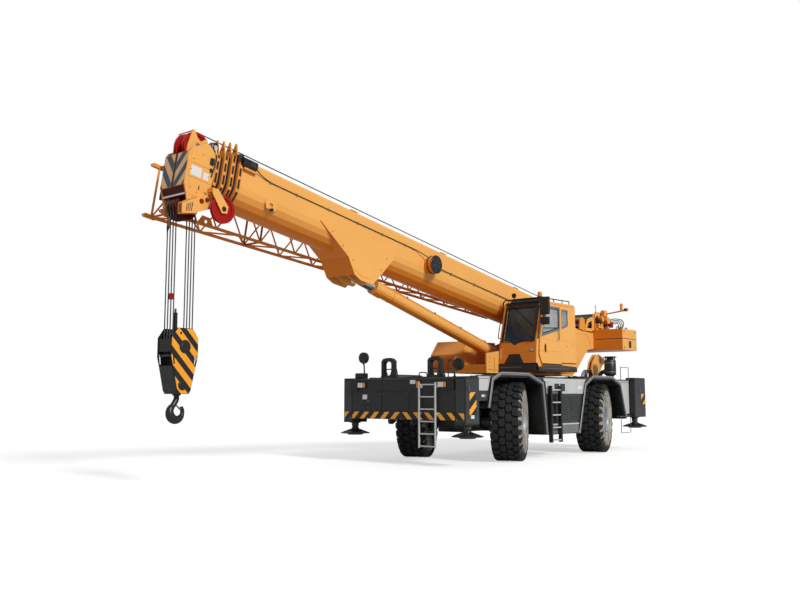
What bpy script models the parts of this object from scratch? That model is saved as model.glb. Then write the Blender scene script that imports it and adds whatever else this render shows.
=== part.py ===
"""Rough terrain crane on two steered axles, parked with its boom over the front.

Metres, +X forward, +Y to the cab side, +Z up. Inside the script x = 0 is the slewing axis;
the root empty then moves the whole crane so that its bottom centre is the origin.
"""
import math

import bmesh
import bpy
from mathutils import Matrix, Vector

SEAT = 0.0003          # gap that meeting faces keep
PIN_GAP = 0.0005       # gap round a pin or rod
RUN = 0.006            # running clearance between moving pieces
ROUND = 16             # sides of a large round piece
TYRE_SIDES = 24
SMALL = 8             # sides of a small round piece
SHEAVE_SIDES = 18

# Running gear
TYRE_R = 0.935
TYRE_W = 0.75
BEAD_R = 0.318
RIM_FLANGE_R = 0.362
WHEEL_Z = TYRE_R
TRACK = 2.63
AXLES = {"front": 2.60, "rear": -1.79}
STEER = {"front": math.radians(25), "rear": math.radians(16)}   # parked with its wheels turned
KINGPIN_IN = 0.395     # from the tyre's middle plane in to the kingpin
KINGPIN_Y = TRACK / 2 - KINGPIN_IN
AXLE_R = 0.19
DIFF_R = 0.27
FORK_HALF = 0.195      # half height of the axle end between the knuckle's arms
ARM_T = 0.06
HUB_R = 0.155
DISC_IN = -0.015       # wheel disc, measured from the tyre's middle plane
DISC_T = 0.04

# Carrier frame and decks
FRAME_HALF = 0.46
FRAME_TOP = 1.98
FRAME_WALL = 0.04
FRAME_LOW = 0.95
FRAME_OVER_AXLE = 1.22
FRAME_END_LOW = 1.05
DECK_T = 0.05
DECK_OUT = 1.60
PANEL_OUT = 1.606
SKIN = 0.025
FENDER_IN = 0.95
FENDER_OUT = 1.66
TOWER_R = 0.85
SLEW_R = 0.75
SLEW_W = 0.20
SLEW_TOP = 2.08

# Outriggers: box ends in x, heights, then the parts that slide in them
BOX_X = {"front": (4.28, 4.98), "rear": (-4.30, -3.65)}
BOX_Z = {"front": (1.01, 1.94), "rear": (1.01, 1.94)}
BOX_HALF = 1.50
BOX_WALL = 0.025
BEAM_W = 0.29
BEAM_H = 0.50
BEAM_LOW = 1.20
BEAM_INNER = 0.18 - BOX_HALF   # inner end of a beam, across the box from its own leg
BEAM_WALL = 0.02
JACK_X = {"front": 4.72, "rear": -3.80}
JACK_Y = BOX_HALF + 0.14
LEG_HALF_Y = 0.13
LEG_Z = {"front": (0.92, 1.95), "rear": (0.93, 2.06)}
LEG_X = {"front": (4.45, 4.98), "rear": (-4.30, -3.55)}
JACK_R = 0.085
JACK_TOP = 1.88
FLOAT_R = 0.345
FLOAT_Z = 0.62
FLOAT_T = 0.05

# Superstructure
PLATE_IN = 0.46
PLATE_T = 0.045
PIVOT = (-1.90, 3.28)
PIVOT_PIN_R = 0.11
LUFF_FOOT = (-0.30, 2.25)
LUFF_EYE = (6.50, 4.08)
FOOT_PIN_R = 0.06
EYE_R = 0.13
EYE_HALF = 0.125
EAR_T = 0.04
BARREL_R = 0.15
BARREL_LEN = 6.50
BORE_R = 0.128
ROD_R = 0.12
ROD_LEN = 4.60
CAB_Y = (0.52, 1.60)
CAB_WALL = 0.05
CAB_LOW = 2.16
CAB_FLOOR = 2.32
DOOR_LOW = 2.30
GLASS_T = 0.012
WEIGHT_X = (-4.65, -3.55)
WEIGHT_Z = (2.90, 3.52)
WEIGHT_HALF = 1.45

# Boom, in its own frame: u along it from the pivot, v across it
BOOM_ANGLE = math.radians(9.0)
BOOM_HALF = 0.39
BOOM_TOP = 0.73
BELLY_V = 0.17         # centre of the round lower half
SECTION_WALL = 0.02
SECTION_STEP = 0.045   # from one section's outer face to the next one's
BASE_REAR = -0.28
BASE_FRONT = 12.305
COLLAR_STEP = 0.12
COLLAR_T = 0.035
SECTION_REAR = 0.90
HEAD_HALF = 0.35
HEAD_T = 0.03
EAR_IN = 0.185         # inner face of the plates beside the top sheaves
EAR_TH = 0.02
TOP_SHEAVE = (13.10, 0.62)
TOP_SHEAVE_R = 0.26
TOP_SHEAVE_Y = (-0.09, 0.15)
LOW_SHEAVE = (13.075, -0.50)
SHEAVE_R = 0.20
SHEAVE_RIM = 0.02      # rim outside the rope's middle
AUX_SHEAVE = (12.63, -0.45)
AUX_SHEAVE_R = 0.235
AUX_Y = 0.56
AUX_GAP = 0.034        # from the side sheave's middle to the plates that hold it
ROPE_R = 0.011
FALL_PITCH = 0.08
FALLS = 4
BLOCK_DROP = 2.42      # from the head's lower sheaves down to the block's
BLOCK_LOW = 0.84       # from the block's sheaves down to its foot
CHEEK_IN = 0.185
CHEEK_T = 0.02

PAINT = {
    "orange": ((0.86, 0.40, 0.06), 0.35, 0.0),
    "charcoal": ((0.035, 0.037, 0.04), 0.45, 0.0),
    "silver": ((0.55, 0.57, 0.58), 0.4, 0.3),
    "rubber": ((0.02, 0.02, 0.02), 0.8, 0.0),
    "rim": ((0.45, 0.50, 0.56), 0.4, 0.4),
    "steel": ((0.35, 0.35, 0.36), 0.4, 0.9),
    "chrome": ((0.8, 0.8, 0.8), 0.1, 1.0),
    "red": ((0.55, 0.04, 0.03), 0.45, 0.0),
    "glass": ((0.05, 0.06, 0.07), 0.05, 0.0),
    "seat": ((0.03, 0.03, 0.035), 0.8, 0.0),
}


def start():
    """Empty the file and make the collection for the crane's pieces."""
    for obj in list(bpy.data.objects):
        bpy.data.objects.remove(obj, do_unlink=True)
    parts = bpy.data.collections.new("rough_terrain_crane")
    bpy.context.scene.collection.children.link(parts)
    return parts


PARTS = start()
MATERIALS = {}


def paint(name):
    """One Principled material for each named finish."""
    if name not in MATERIALS:
        colour, rough, metal = PAINT[name]
        mat = bpy.data.materials.new(name)
        mat.use_nodes = True
        shader = mat.node_tree.nodes["Principled BSDF"]
        shader.inputs["Base Color"].default_value = (*colour, 1)
        shader.inputs["Roughness"].default_value = rough
        shader.inputs["Metallic"].default_value = metal
        MATERIALS[name] = mat
    return MATERIALS[name]


def linked(data, name="shape"):
    obj = bpy.data.objects.new(name, data)
    PARTS.objects.link(obj)
    return obj


def from_bmesh(bm):
    mesh = bpy.data.meshes.new("shape")
    bm.to_mesh(mesh)
    bm.free()
    return linked(mesh)


def settle(obj):
    """Replace an object by the mesh that its curve or modifiers give, welded shut."""
    graph = bpy.context.evaluated_depsgraph_get()
    mesh = bpy.data.meshes.new_from_object(obj.evaluated_get(graph))
    bm = bmesh.new()
    bm.from_mesh(mesh)
    bmesh.ops.remove_doubles(bm, verts=bm.verts, dist=0.00002)
    if bm.calc_volume(signed=True) < 0:
        bmesh.ops.reverse_faces(bm, faces=bm.faces)
    bm.to_mesh(mesh)
    bm.free()
    result = linked(mesh)
    result.matrix_world = obj.matrix_world.copy()
    bpy.data.objects.remove(obj, do_unlink=True)
    return result


def bake(obj):
    """Move an object's own transform into its mesh."""
    obj.data.transform(obj.matrix_world)
    obj.matrix_world = Matrix.Identity(4)
    return obj


def box(x, y, z):
    """A box between two x, two y and two z values, given in either order."""
    low = Vector([min(pair) for pair in (x, y, z)])
    high = Vector([max(pair) for pair in (x, y, z)])
    bm = bmesh.new()
    size = Matrix.Diagonal((high - low).to_4d())
    size[3][3] = 1
    bmesh.ops.create_cube(bm, size=1, matrix=Matrix.Translation((low + high) / 2) @ size)
    return from_bmesh(bm)


def rod(a, b, radius, sides=ROUND, end_radius=None):
    """A round bar or cone between two points."""
    a = Vector(a)
    b = Vector(b)
    turn = (b - a).to_track_quat("Z", "Y").to_matrix().to_4x4()
    bm = bmesh.new()
    bmesh.ops.create_cone(
        bm, cap_ends=True, segments=sides, radius1=radius,
        radius2=radius if end_radius is None else end_radius,
        depth=(b - a).length, matrix=Matrix.Translation((a + b) / 2) @ turn)
    return from_bmesh(bm)


PLANES = {
    "x": Matrix(((0, 0, 1, 0), (1, 0, 0, 0), (0, 1, 0, 0), (0, 0, 0, 1))),
    "y": Matrix(((1, 0, 0, 0), (0, 0, -1, 0), (0, 1, 0, 0), (0, 0, 0, 1))),
    "z": Matrix.Identity(4),
}


def anticlockwise(ring):
    area = sum(a[0] * b[1] - b[0] * a[1] for a, b in zip(ring, [*ring[1:], ring[0]]))
    return list(ring) if area > 0 else list(ring)[::-1]


def outline(points, axis, span, holes=()):
    """A flat outline made solid between two places on an axis.

    The points are (y, z) for axis x, (x, z) for axis y and (x, y) for axis z.
    """
    curve = bpy.data.curves.new("outline", "CURVE")
    curve.dimensions = "2D"
    curve.fill_mode = "BOTH"
    curve.extrude = abs(span[1] - span[0]) / 2
    for ring in (points, *holes):
        ring = anticlockwise(ring)
        spline = curve.splines.new("POLY")
        spline.points.add(len(ring) - 1)
        for point, (a, b) in zip(spline.points, ring):
            point.co = (a, b, 0, 1)
        spline.use_cyclic_u = True
    obj = linked(curve)
    shift = [0, 0, 0]
    shift["xyz".index(axis)] = (span[0] + span[1]) / 2
    obj.matrix_world = Matrix.Translation(shift) @ PLANES[axis]
    bpy.context.view_layer.update()
    return bake(settle(obj))


def turned(profile, centre, axis="z", steps=ROUND, ring=False):
    """A turned solid: (radius, height) pairs, down the outer side of the piece."""
    mesh = bpy.data.meshes.new("profile")
    edges = [(i, i + 1) for i in range(len(profile) - 1)]
    if ring:
        edges.append((len(profile) - 1, 0))
    mesh.from_pydata([(r, 0, h) for r, h in profile], edges, [])
    obj = linked(mesh)
    screw = obj.modifiers.new("Turn", "SCREW")
    screw.steps = steps
    screw.render_steps = steps
    screw.use_merge_vertices = True
    screw.merge_threshold = 0.0001
    bpy.context.view_layer.update()
    obj = settle(obj)
    turn = {"z": Matrix.Identity(4),
            "y": Matrix.Rotation(-math.pi / 2, 4, "X"),
            "x": Matrix.Rotation(math.pi / 2, 4, "Y")}[axis]
    obj.data.transform(Matrix.Translation(centre) @ turn)
    return obj


def tube(points, radius, closed=False):
    """A bent round tube or bar through the points."""
    curve = bpy.data.curves.new("tube", "CURVE")
    curve.dimensions = "3D"
    curve.bevel_depth = radius
    curve.bevel_resolution = 2
    curve.use_fill_caps = True
    spline = curve.splines.new("POLY")
    spline.points.add(len(points) - 1)
    for point, place in zip(spline.points, points):
        point.co = (*place, 1)
    spline.use_cyclic_u = closed
    obj = linked(curve)
    bpy.context.view_layer.update()
    return settle(obj)


def combined(first, others, operation):
    for other in others:
        step = first.modifiers.new(operation, "BOOLEAN")
        step.operation = operation
        step.solver = "EXACT"
        step.object = other
    bpy.context.view_layer.update()
    result = settle(first)
    for other in others:
        bpy.data.objects.remove(other, do_unlink=True)
    return result


def union(first, *others):
    return combined(first, others, "UNION")


def cut(first, *others):
    return combined(first, others, "DIFFERENCE")


def mirrored(obj):
    """A copy of a shape on the other side of the middle plane."""
    bm = bmesh.new()
    bm.from_mesh(obj.data)
    bmesh.ops.scale(bm, vec=(1, -1, 1), verts=bm.verts)
    bmesh.ops.reverse_faces(bm, faces=bm.faces)
    return from_bmesh(bm)


def lofted(rings):
    """A solid through rings that have the same number of points."""
    bm = bmesh.new()
    rows = [[bm.verts.new(point) for point in ring] for ring in rings]
    count = len(rings[0])
    for near, far in zip(rows, rows[1:]):
        for i in range(count):
            j = (i + 1) % count
            bm.faces.new((near[i], near[j], far[j], far[i]))
    bm.faces.new(rows[0][::-1])
    bm.faces.new(rows[-1])
    bmesh.ops.recalc_face_normals(bm, faces=bm.faces)
    return from_bmesh(bm)


def arc(centre, radius, first, last, steps):
    """Points on an arc, angles in degrees."""
    points = []
    for i in range(steps + 1):
        a = math.radians(first + (last - first) * i / steps)
        points.append((centre[0] + radius * math.cos(a), centre[1] + radius * math.sin(a)))
    return points


def round_hole(radius, sides=ROUND):
    """The corner radius of a hole whose flats clear a round piece of this radius."""
    return (radius + PIN_GAP) / math.cos(math.pi / sides)


def ribbon(points, thickness):
    """The outline of a bent strip: the points are its outer side, mitred at each bend."""
    inner = []
    for i, point in enumerate(points):
        here = Vector(point)
        before = (here - Vector(points[i - 1])).normalized() if i else None
        after = (Vector(points[i + 1]) - here).normalized() if i < len(points) - 1 else None
        before = before or after
        after = after or before
        tangent = (before + after).normalized()
        side = Vector((tangent.y, -tangent.x))
        reach = thickness / max(0.3, side.dot(Vector((before.y, -before.x))))
        inner.append(tuple(here + side * reach))
    return list(points) + inner[::-1]


def place(name, shape, finish, parent, pivot=(0, 0, 0)):
    """Name a shape, give it its finish, and hang it on its parent at its pivot."""
    shape.name = name
    shape.data.name = name
    shape.data.transform(Matrix.Translation(-Vector(pivot)))
    shape.data.materials.clear()
    shape.data.materials.append(paint(finish))
    shape.data.shade_smooth()
    shape.data.set_sharp_from_angle(angle=math.radians(32))
    shape.parent = parent
    shape.location = pivot
    return shape


def empty(name, parent=None, at=(0, 0, 0), pitch=0.0):
    obj = bpy.data.objects.new(name, None)
    PARTS.objects.link(obj)
    obj.parent = parent
    obj.location = at
    obj.rotation_euler = (0, pitch, 0)
    return obj


# Carrier

def carrier_frame(root):
    end_front = BOX_X["front"][0] - SEAT
    end_rear = BOX_X["rear"][1] + SEAT
    low = [(end_rear, FRAME_END_LOW)]
    for x in (AXLES["rear"], AXLES["front"]):
        low += [(x - 0.72, FRAME_END_LOW if x < 0 else FRAME_LOW), (x - 0.42, FRAME_OVER_AXLE),
                (x + 0.42, FRAME_OVER_AXLE), (x + 0.72, FRAME_LOW if x < 0 else FRAME_END_LOW)]
    low.append((end_front, FRAME_END_LOW))
    side = low + [(end_front, FRAME_TOP), (end_rear, FRAME_TOP)]
    body = outline(side, "y", (-FRAME_HALF, FRAME_HALF))
    inside = FRAME_HALF - FRAME_WALL
    body = cut(body,
               box((end_rear + FRAME_WALL, -2.32), (-inside, inside), (0.5, 3.0)),
               box((-2.28, 1.1), (-inside, inside), (0.5, FRAME_TOP - FRAME_WALL)),
               box((1.14, end_front - FRAME_WALL), (-inside, inside), (0.5, FRAME_TOP - FRAME_WALL)))
    tower = rod((0, 0, 1.55), (0, 0, FRAME_TOP), TOWER_R, 32)
    tower = cut(tower, rod((0, 0, 1.0), (0, 0, FRAME_TOP - 0.05), TOWER_R - 0.04, 32))
    body = union(body, tower)
    cradle = box((-3.30, -3.20), (-inside - 0.01, inside + 0.01), (1.15, 1.25))
    cradle_b = box((-2.62, -2.52), (-inside - 0.01, inside + 0.01), (1.15, 1.25))
    body = union(body, cradle, cradle_b)
    place("carrier_frame", body, "charcoal", root)
    ring = turned([(SLEW_R, SLEW_TOP - SEAT), (SLEW_R, 2.03), (SLEW_R + 0.05, 2.03),
                   (SLEW_R + 0.05, FRAME_TOP + SEAT), (SLEW_R - SLEW_W, FRAME_TOP + SEAT),
                   (SLEW_R - SLEW_W, SLEW_TOP - SEAT)],
                  (0, 0, 0), steps=28, ring=True)
    place("slew_ring", ring, "steel", root)


FRONT_ARCH = ((1.34, 0.59), (1.52, 1.83), (2.16, 2.03), (3.37, 2.03), (3.70, 1.90), (3.86, 1.27))
REAR_ARCH = ((-3.19, 0.90), (-2.86, 1.85), (-2.36, 2.03), (-1.21, 2.03), (-0.79, 1.83), (-0.39, 0.57))


def arch_x(arch, end, z):
    """Where the middle of an arch's skin is at a height, on its rear (0) or front (-1) leg."""
    foot, knee = (arch[0], arch[1]) if end == 0 else (arch[-1], arch[-2])
    x = foot[0] + (knee[0] - foot[0]) * (z - foot[1]) / (knee[1] - foot[1])
    return x + (SKIN / 2 if end == 0 else -SKIN / 2)


def deck(root):
    low = FRAME_TOP - DECK_T
    ends = (BOX_X["rear"][1] + SEAT, BOX_X["front"][0] - SEAT)
    plate = box(ends, (FRAME_HALF + SEAT, DECK_OUT), (low, FRAME_TOP))
    plate = cut(plate, rod((0, 0, 1.0), (0, 0, 3.0), TOWER_R + 0.006, 32))
    for arch in (FRONT_ARCH, REAR_ARCH):
        body = outline(list(arch), "y", (FENDER_IN, 2.0))
        plate = cut(plate, body)
    for arch in (FRONT_ARCH, REAR_ARCH):
        strip = outline(ribbon(arch, SKIN), "y", (FENDER_IN - 0.01, FENDER_OUT))
        riser = box((arch[2][0] - 0.3, arch[3][0] + 0.2), (FENDER_IN - 0.03, FENDER_IN), (low, 2.015))
        plate = union(plate, strip, riser)
    top = low + 0.012
    foot = 0.82
    knee = 1.78
    panel = [(1.33, top), (1.25, foot), (arch_x(REAR_ARCH, -1, foot), foot),
             (arch_x(REAR_ARCH, -1, knee), knee), (-0.80, top)]
    inner = [(1.28, top - 0.03), (1.22, foot + SKIN), (arch_x(REAR_ARCH, -1, foot) + 0.06, foot + SKIN),
             (arch_x(REAR_ARCH, -1, knee) + 0.05, knee - SKIN), (-0.72, top - 0.03)]
    locker = cut(outline(panel, "y", (1.05, PANEL_OUT)), outline(inner, "y", (0.9, PANEL_OUT - SKIN)))
    step = box((-0.36, 1.22), (1.15, PANEL_OUT + 0.03), (0.58, 0.84))
    low_f = 1.43
    front = outline([(arch_x(FRONT_ARCH, -1, 1.88), top), (arch_x(FRONT_ARCH, -1, low_f), low_f),
                     (4.25, low_f), (4.25, top)], "y", (1.10, PANEL_OUT))
    low_r = 0.94
    leg_end = LEG_X["rear"][1] + 0.02
    plate = cut(plate, box((ends[0] - 1, leg_end), (BOX_HALF, 3), (0, 3)))
    rear = outline([(leg_end, top), (leg_end, low_r), (arch_x(REAR_ARCH, 0, low_r), low_r),
                    (arch_x(REAR_ARCH, 0, 1.80), 1.80), (-2.80, top)], "y", (1.10, PANEL_OUT))
    plate = union(plate, locker, step, front, rear)
    other = mirrored(plate)
    place("deck_left", plate, "charcoal", root)
    place("deck_right", other, "charcoal", root)


def outrigger_box(root, end):
    x0, x1 = BOX_X[end]
    z0, z1 = BOX_Z[end]
    body = box((x0, x1), (-BOX_HALF, BOX_HALF), (z0, z1))
    for side in (1, -1):
        a, b = beam_span(end, side)
        cavity = box((a - RUN, b + RUN), (side * (BEAM_INNER - 0.03), side * 3),
                     (BEAM_LOW - SEAT, BEAM_LOW + BEAM_H + RUN))
        body = cut(body, cavity)
    return body


def beam_span(end, side):
    """Where a beam lies in x: the left one forward of the right one, both inside the box."""
    x0, x1 = BOX_X[end]
    middle = (x0 + x1) / 2
    gap = 0.0125
    if side > 0:
        return middle + gap, middle + gap + BEAM_W
    return middle - gap - BEAM_W, middle - gap


def outriggers(root):
    front = outrigger_box(root, "front")
    for y in (0.62, -0.77):
        hoop = outline([(y - 0.19, 1.90), (y - 0.19, 2.36), (y - 0.13, 2.42), (y + 0.13, 2.42),
                        (y + 0.19, 2.36), (y + 0.19, 1.90)], "x", (4.44, 4.56),
                       holes=([(y - 0.12, 2.02), (y + 0.12, 2.02), (y + 0.12, 2.30), (y + 0.08, 2.35),
                               (y - 0.08, 2.35), (y - 0.12, 2.30)],))
        front = union(front, hoop)
    for side, top in ((1, 2.36), (-1, 2.57)):
        foot = side * (BOX_HALF - 0.17)
        face = side * (BOX_HALF - 0.10)
        stalk = tube([(4.75, foot, 1.90), (4.75, foot, 2.15), (4.72, face - side * 0.02, top - 0.12)], 0.018)
        glass = rod((4.66, face, top - 0.12), (4.72, face, top - 0.12), 0.13)
        front = union(front, stalk, glass)
    for y in (BOX_HALF - 0.32, 0.32 - BOX_HALF):
        front = union(front, box((4.95, 5.02), (y - 0.12, y + 0.12), (1.72, 1.86)))
    place("front_outrigger_box", front, "charcoal", root)
    rear = outrigger_box(root, "rear")
    place("rear_outrigger_box", rear, "charcoal", root)
    for end in ("front", "rear"):
        for side, letter in ((1, "left"), (-1, "right")):
            outrigger(root, end, side, letter)


def outrigger(root, end, side, letter):
    a, b = beam_span(end, side)
    beam = box((a, b), (side * BEAM_INNER, side * (JACK_Y - 0.10)), (BEAM_LOW, BEAM_LOW + BEAM_H))
    beam = cut(beam, box((a + BEAM_WALL, b - BEAM_WALL), (side * (BEAM_INNER - 1), side * (BOX_HALF - 0.20)),
                         (BEAM_LOW + BEAM_WALL, BEAM_LOW + BEAM_H - BEAM_WALL)))
    x = JACK_X[end]
    leg = box(LEG_X[end], (side * (BOX_HALF + RUN), side * (JACK_Y + LEG_HALF_Y)), LEG_Z[end])
    leg = union(leg, beam)
    bore = rod((x, side * JACK_Y, 0.5), (x, side * JACK_Y, LEG_Z[end][1] - 0.05), JACK_R + PIN_GAP)
    leg = cut(leg, bore)
    place(f"outrigger_beam_{end}_{letter}", leg, "charcoal", root, (x, side * JACK_Y, 1.45))
    jack = turned([(0, JACK_TOP), (JACK_R, JACK_TOP), (JACK_R, FLOAT_Z + 0.16), (0.12, FLOAT_Z + 0.15),
                   (0.15, FLOAT_Z + 0.13), (FLOAT_R, FLOAT_Z + FLOAT_T), (FLOAT_R, FLOAT_Z),
                   (0, FLOAT_Z)], (x, side * JACK_Y, 0))
    place(f"jack_{end}_{letter}", jack, "steel", root, (x, side * JACK_Y, FLOAT_Z))


def engine_bay(root):
    block = box((-3.42, -2.42), (-0.36, 0.36), (1.25 + SEAT, 1.90))
    place("engine", block, "steel", root)
    hood = box((-3.60, -2.12), (-0.90, 0.90), (FRAME_TOP + SEAT, 2.075))
    place("engine_hood", hood, "charcoal", root)
    cleaner = turned([(0, 2.70), (0.20, 2.70), (0.20, 2.66), (0.10, 2.65), (0.10, 2.60), (0.17, 2.58),
                      (0.17, 2.15), (0.10, 2.12), (0.10, FRAME_TOP + SEAT), (0, FRAME_TOP + SEAT)],
                     (-3.30, 1.15, 0))
    place("air_cleaner", cleaner, "charcoal", root)


def ladders(root):
    x = 5.05
    rungs = [(0.44 + 0.27 * i) for i in range(6)]
    body = tube([(x, 0.57, 0.40), (x, 0.57, 1.84)], 0.022)
    body = union(body, tube([(x, 1.02, 0.40), (x, 1.02, 1.84)], 0.022))
    for z in rungs:
        body = union(body, rod((x, 0.57, z), (x, 1.02, z), 0.016, 8))
    for y in (0.57, 1.02):
        for z in (1.15, 1.75):
            body = union(body, box((BOX_X["front"][1] + SEAT, x), (y - 0.018, y + 0.018),
                                   (z - 0.02, z + 0.02)))
    place("ladder_front", body, "silver", root)
    y = PANEL_OUT + 0.07
    body = box((0.72, 0.75), (y - 0.02, y + 0.03), (0.39, 1.80))
    body = union(body, box((1.20, 1.23), (y - 0.02, y + 0.03), (0.39, 1.80)))
    for i in range(5):
        z = 0.45 + 0.31 * i
        body = union(body, box((0.73, 1.22), (y - 0.015, y + 0.025), (z - 0.015, z + 0.015)))
    for x in (0.735, 1.215):
        body = union(body, box((x - 0.015, x + 0.015), (PANEL_OUT + SEAT, y), (1.55, 1.59)))
    place("ladder_left", body, "charcoal", root)


def running_gear(root):
    for end, x in AXLES.items():
        axle(root, end, x)
        for side, letter in ((1, "left"), (-1, "right")):
            corner(root, end, x, side, letter)


def axle(root, end, x):
    """Drive axle, built about its own middle: housing, differential, pinion nose and forks."""
    tip = KINGPIN_Y - 0.05
    body = rod((0, -0.62, 0), (0, 0.62, 0), AXLE_R)
    body = union(body, rod((0, -tip, 0), (0, tip, 0), 0.117, 12))
    body = union(body, turned([(0, 0.24), (0.15, 0.24), (DIFF_R, 0.10), (DIFF_R, -0.10), (0.15, -0.24),
                               (0, -0.24)], (0, 0, 0), "y"))
    nose = -1 if end == "front" else 1
    body = union(body, rod((nose * 0.06, 0, 0), (nose * 0.46, 0, 0), 0.155, 10, end_radius=0.08))
    for side in (1, -1):
        y = side * KINGPIN_Y
        body = union(body, rod((0, y, -FORK_HALF), (0, y, FORK_HALF), 0.11, 14))
        body = union(body, box((-0.12, 0.12), (side * 0.40, side * FRAME_HALF),
                               (0.05, FRAME_OVER_AXLE - SEAT - WHEEL_Z)))
    place(f"{end}_axle", body, "steel", root)
    body.location = (x, 0, WHEEL_Z)


def corner(root, end, x, side, letter):
    """Knuckle, wheel and tyre, built straight ahead and then turned about the kingpin."""
    z = WHEEL_Z
    pin = (x, side * KINGPIN_Y, z)
    turn = Matrix.Translation(pin) @ Matrix.Rotation(STEER[end], 4, "Z") @ Matrix.Translation(-Vector(pin))
    middle = side * TRACK / 2
    disc = middle + side * DISC_IN
    hub = rod((x, side * (KINGPIN_Y + 0.13), z), (x, disc - side * SEAT, z), HUB_R)
    plate = box((x - 0.11, x + 0.11), (side * (KINGPIN_Y + 0.125), side * (KINGPIN_Y + 0.19)),
                (z - FORK_HALF - ARM_T, z + FORK_HALF + ARM_T))
    knuckle = union(hub, plate)
    for up in (1, -1):
        low = z + up * (FORK_HALF + SEAT)
        high = z + up * (FORK_HALF + ARM_T)
        arm = box((x - 0.10, x + 0.10), (side * (KINGPIN_Y - 0.02), side * (KINGPIN_Y + 0.15)), (low, high))
        boss = rod((x, side * KINGPIN_Y, low), (x, side * KINGPIN_Y, high), 0.10)
        knuckle = union(knuckle, arm, boss)
    knuckle.data.transform(turn)
    place(f"knuckle_{end}_{letter}", knuckle, "steel", root, pin)
    hub_middle = tuple(turn @ Vector((x, middle, z)))
    rim_half = TYRE_W / 2 - 0.03
    rim = turned([(BEAD_R - 0.0005, rim_half - 0.03), (BEAD_R - 0.0005, 0.03 - rim_half),
                  (RIM_FLANGE_R, 0.025 - rim_half), (RIM_FLANGE_R, -rim_half), (BEAD_R - 0.02, -rim_half),
                  (BEAD_R - 0.02, rim_half), (RIM_FLANGE_R, rim_half), (RIM_FLANGE_R, rim_half - 0.025)],
                 (x, middle, z), "y", TYRE_SIDES, ring=True)
    dish = rod((x, disc, z), (x, disc + side * DISC_T, z), BEAD_R - 0.01, 24)
    cap = turned([(0, 0.20), (0.10, 0.20), (0.13, 0.16), (0.16, 0.02), (0.16, 0), (0, 0)],
                 (0, 0, 0), "y")
    if side < 0:
        cap = replace(cap, mirrored(cap))
    cap.data.transform(Matrix.Translation((x, disc + side * (DISC_T - 0.01), z)))
    wheel = union(rim, dish, cap)
    wheel.data.transform(turn)
    place(f"wheel_{end}_{letter}", wheel, "rim", root, hub_middle)
    tyre = turned(tyre_profile(), (x, middle, z), "y", TYRE_SIDES, ring=True)
    tyre.data.transform(turn)
    place(f"tyre_{end}_{letter}", tyre, "rubber", root, hub_middle)


def replace(old, new):
    bpy.data.objects.remove(old, do_unlink=True)
    return new


def tyre_profile():
    """The tyre's section: outer side from the bead over the tread, then back inside it."""
    half = TYRE_W / 2
    outer = [(BEAD_R + 0.0005, half - 0.075), (0.50, half - 0.012), (0.66, half),
             (0.86, half - 0.03), (TYRE_R, half - 0.11)]
    inner = [(TYRE_R - 0.09, half - 0.15), (0.60, half - 0.06), (BEAD_R + 0.0005, half - 0.13)]
    loop = outer + [(r, -y) for r, y in reversed(outer)]
    return loop + [(r, -y) for r, y in reversed(inner)] + inner


# Superstructure

def turntable(upper):
    side = [(2.25, 2.12), (2.25, 2.60), (0.80, 2.78), (-1.30, 3.38), (-1.62, 3.53), (-2.20, 3.55),
            (-2.78, 3.46), (WEIGHT_X[1] - SEAT * 0, 3.42), (WEIGHT_X[1], 2.95), (-3.16, 2.90),
            (-2.40, 2.23), (-2.20, 2.12)]
    side = [(x + (SEAT if x == WEIGHT_X[1] else 0), z) for x, z in side]
    base = rod((0, 0, SLEW_TOP), (0, 0, 2.125), 0.95, 36)
    floor = box((-2.25, 2.25), (-PLATE_IN - PLATE_T, PLATE_IN + PLATE_T), (2.11, 2.15))
    body = cut(union(base, floor), box((-0.50, 0.60), (-EYE_HALF - 0.005, EYE_HALF + 0.005), (2.10, 3.0)))
    for s in (1, -1):
        plate = outline(side, "y", (s * PLATE_IN, s * (PLATE_IN + PLATE_T)))
        boss = rod((PIVOT[0], s * (PLATE_IN + PLATE_T - 0.01), PIVOT[1]),
                   (PIVOT[0], s * (PLATE_IN + PLATE_T + 0.05), PIVOT[1]), 0.22)
        ear = outline([(-0.52, 2.13), (-0.43, 2.38), (-0.17, 2.38), (-0.08, 2.13)],
                      "y", (s * (EYE_HALF + RUN), s * (EYE_HALF + RUN + EAR_T)))
        body = union(body, plate, boss, ear)
    body = union(body,
                 box((2.19, 2.245), (-PLATE_IN - 0.01, PLATE_IN + 0.01), (2.13, 2.33)),
                 box((-3.40, -3.34), (-PLATE_IN - 0.01, PLATE_IN + 0.01), (2.98, 3.38)),
                 box((-2.60, -2.50), (-PLATE_IN - 0.01, PLATE_IN + 0.01), (2.38, 2.47)))
    body = cut(body, rod((PIVOT[0], -2, PIVOT[1]), (PIVOT[0], 2, PIVOT[1]), round_hole(PIVOT_PIN_R)),
               rod((LUFF_FOOT[0], -0.3, LUFF_FOOT[1]), (LUFF_FOOT[0], 0.3, LUFF_FOOT[1]),
                   round_hole(FOOT_PIN_R)))
    tray = box((-0.35, 1.60), (PLATE_IN + PLATE_T - 0.01, 0.75), (2.125, CAB_LOW - SEAT))
    body = union(body, tray, box((0.30, 1.90), (-0.75, -PLATE_IN - PLATE_T + 0.01), (2.125, 2.155)))
    place("turntable", body, "orange", upper)


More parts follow.
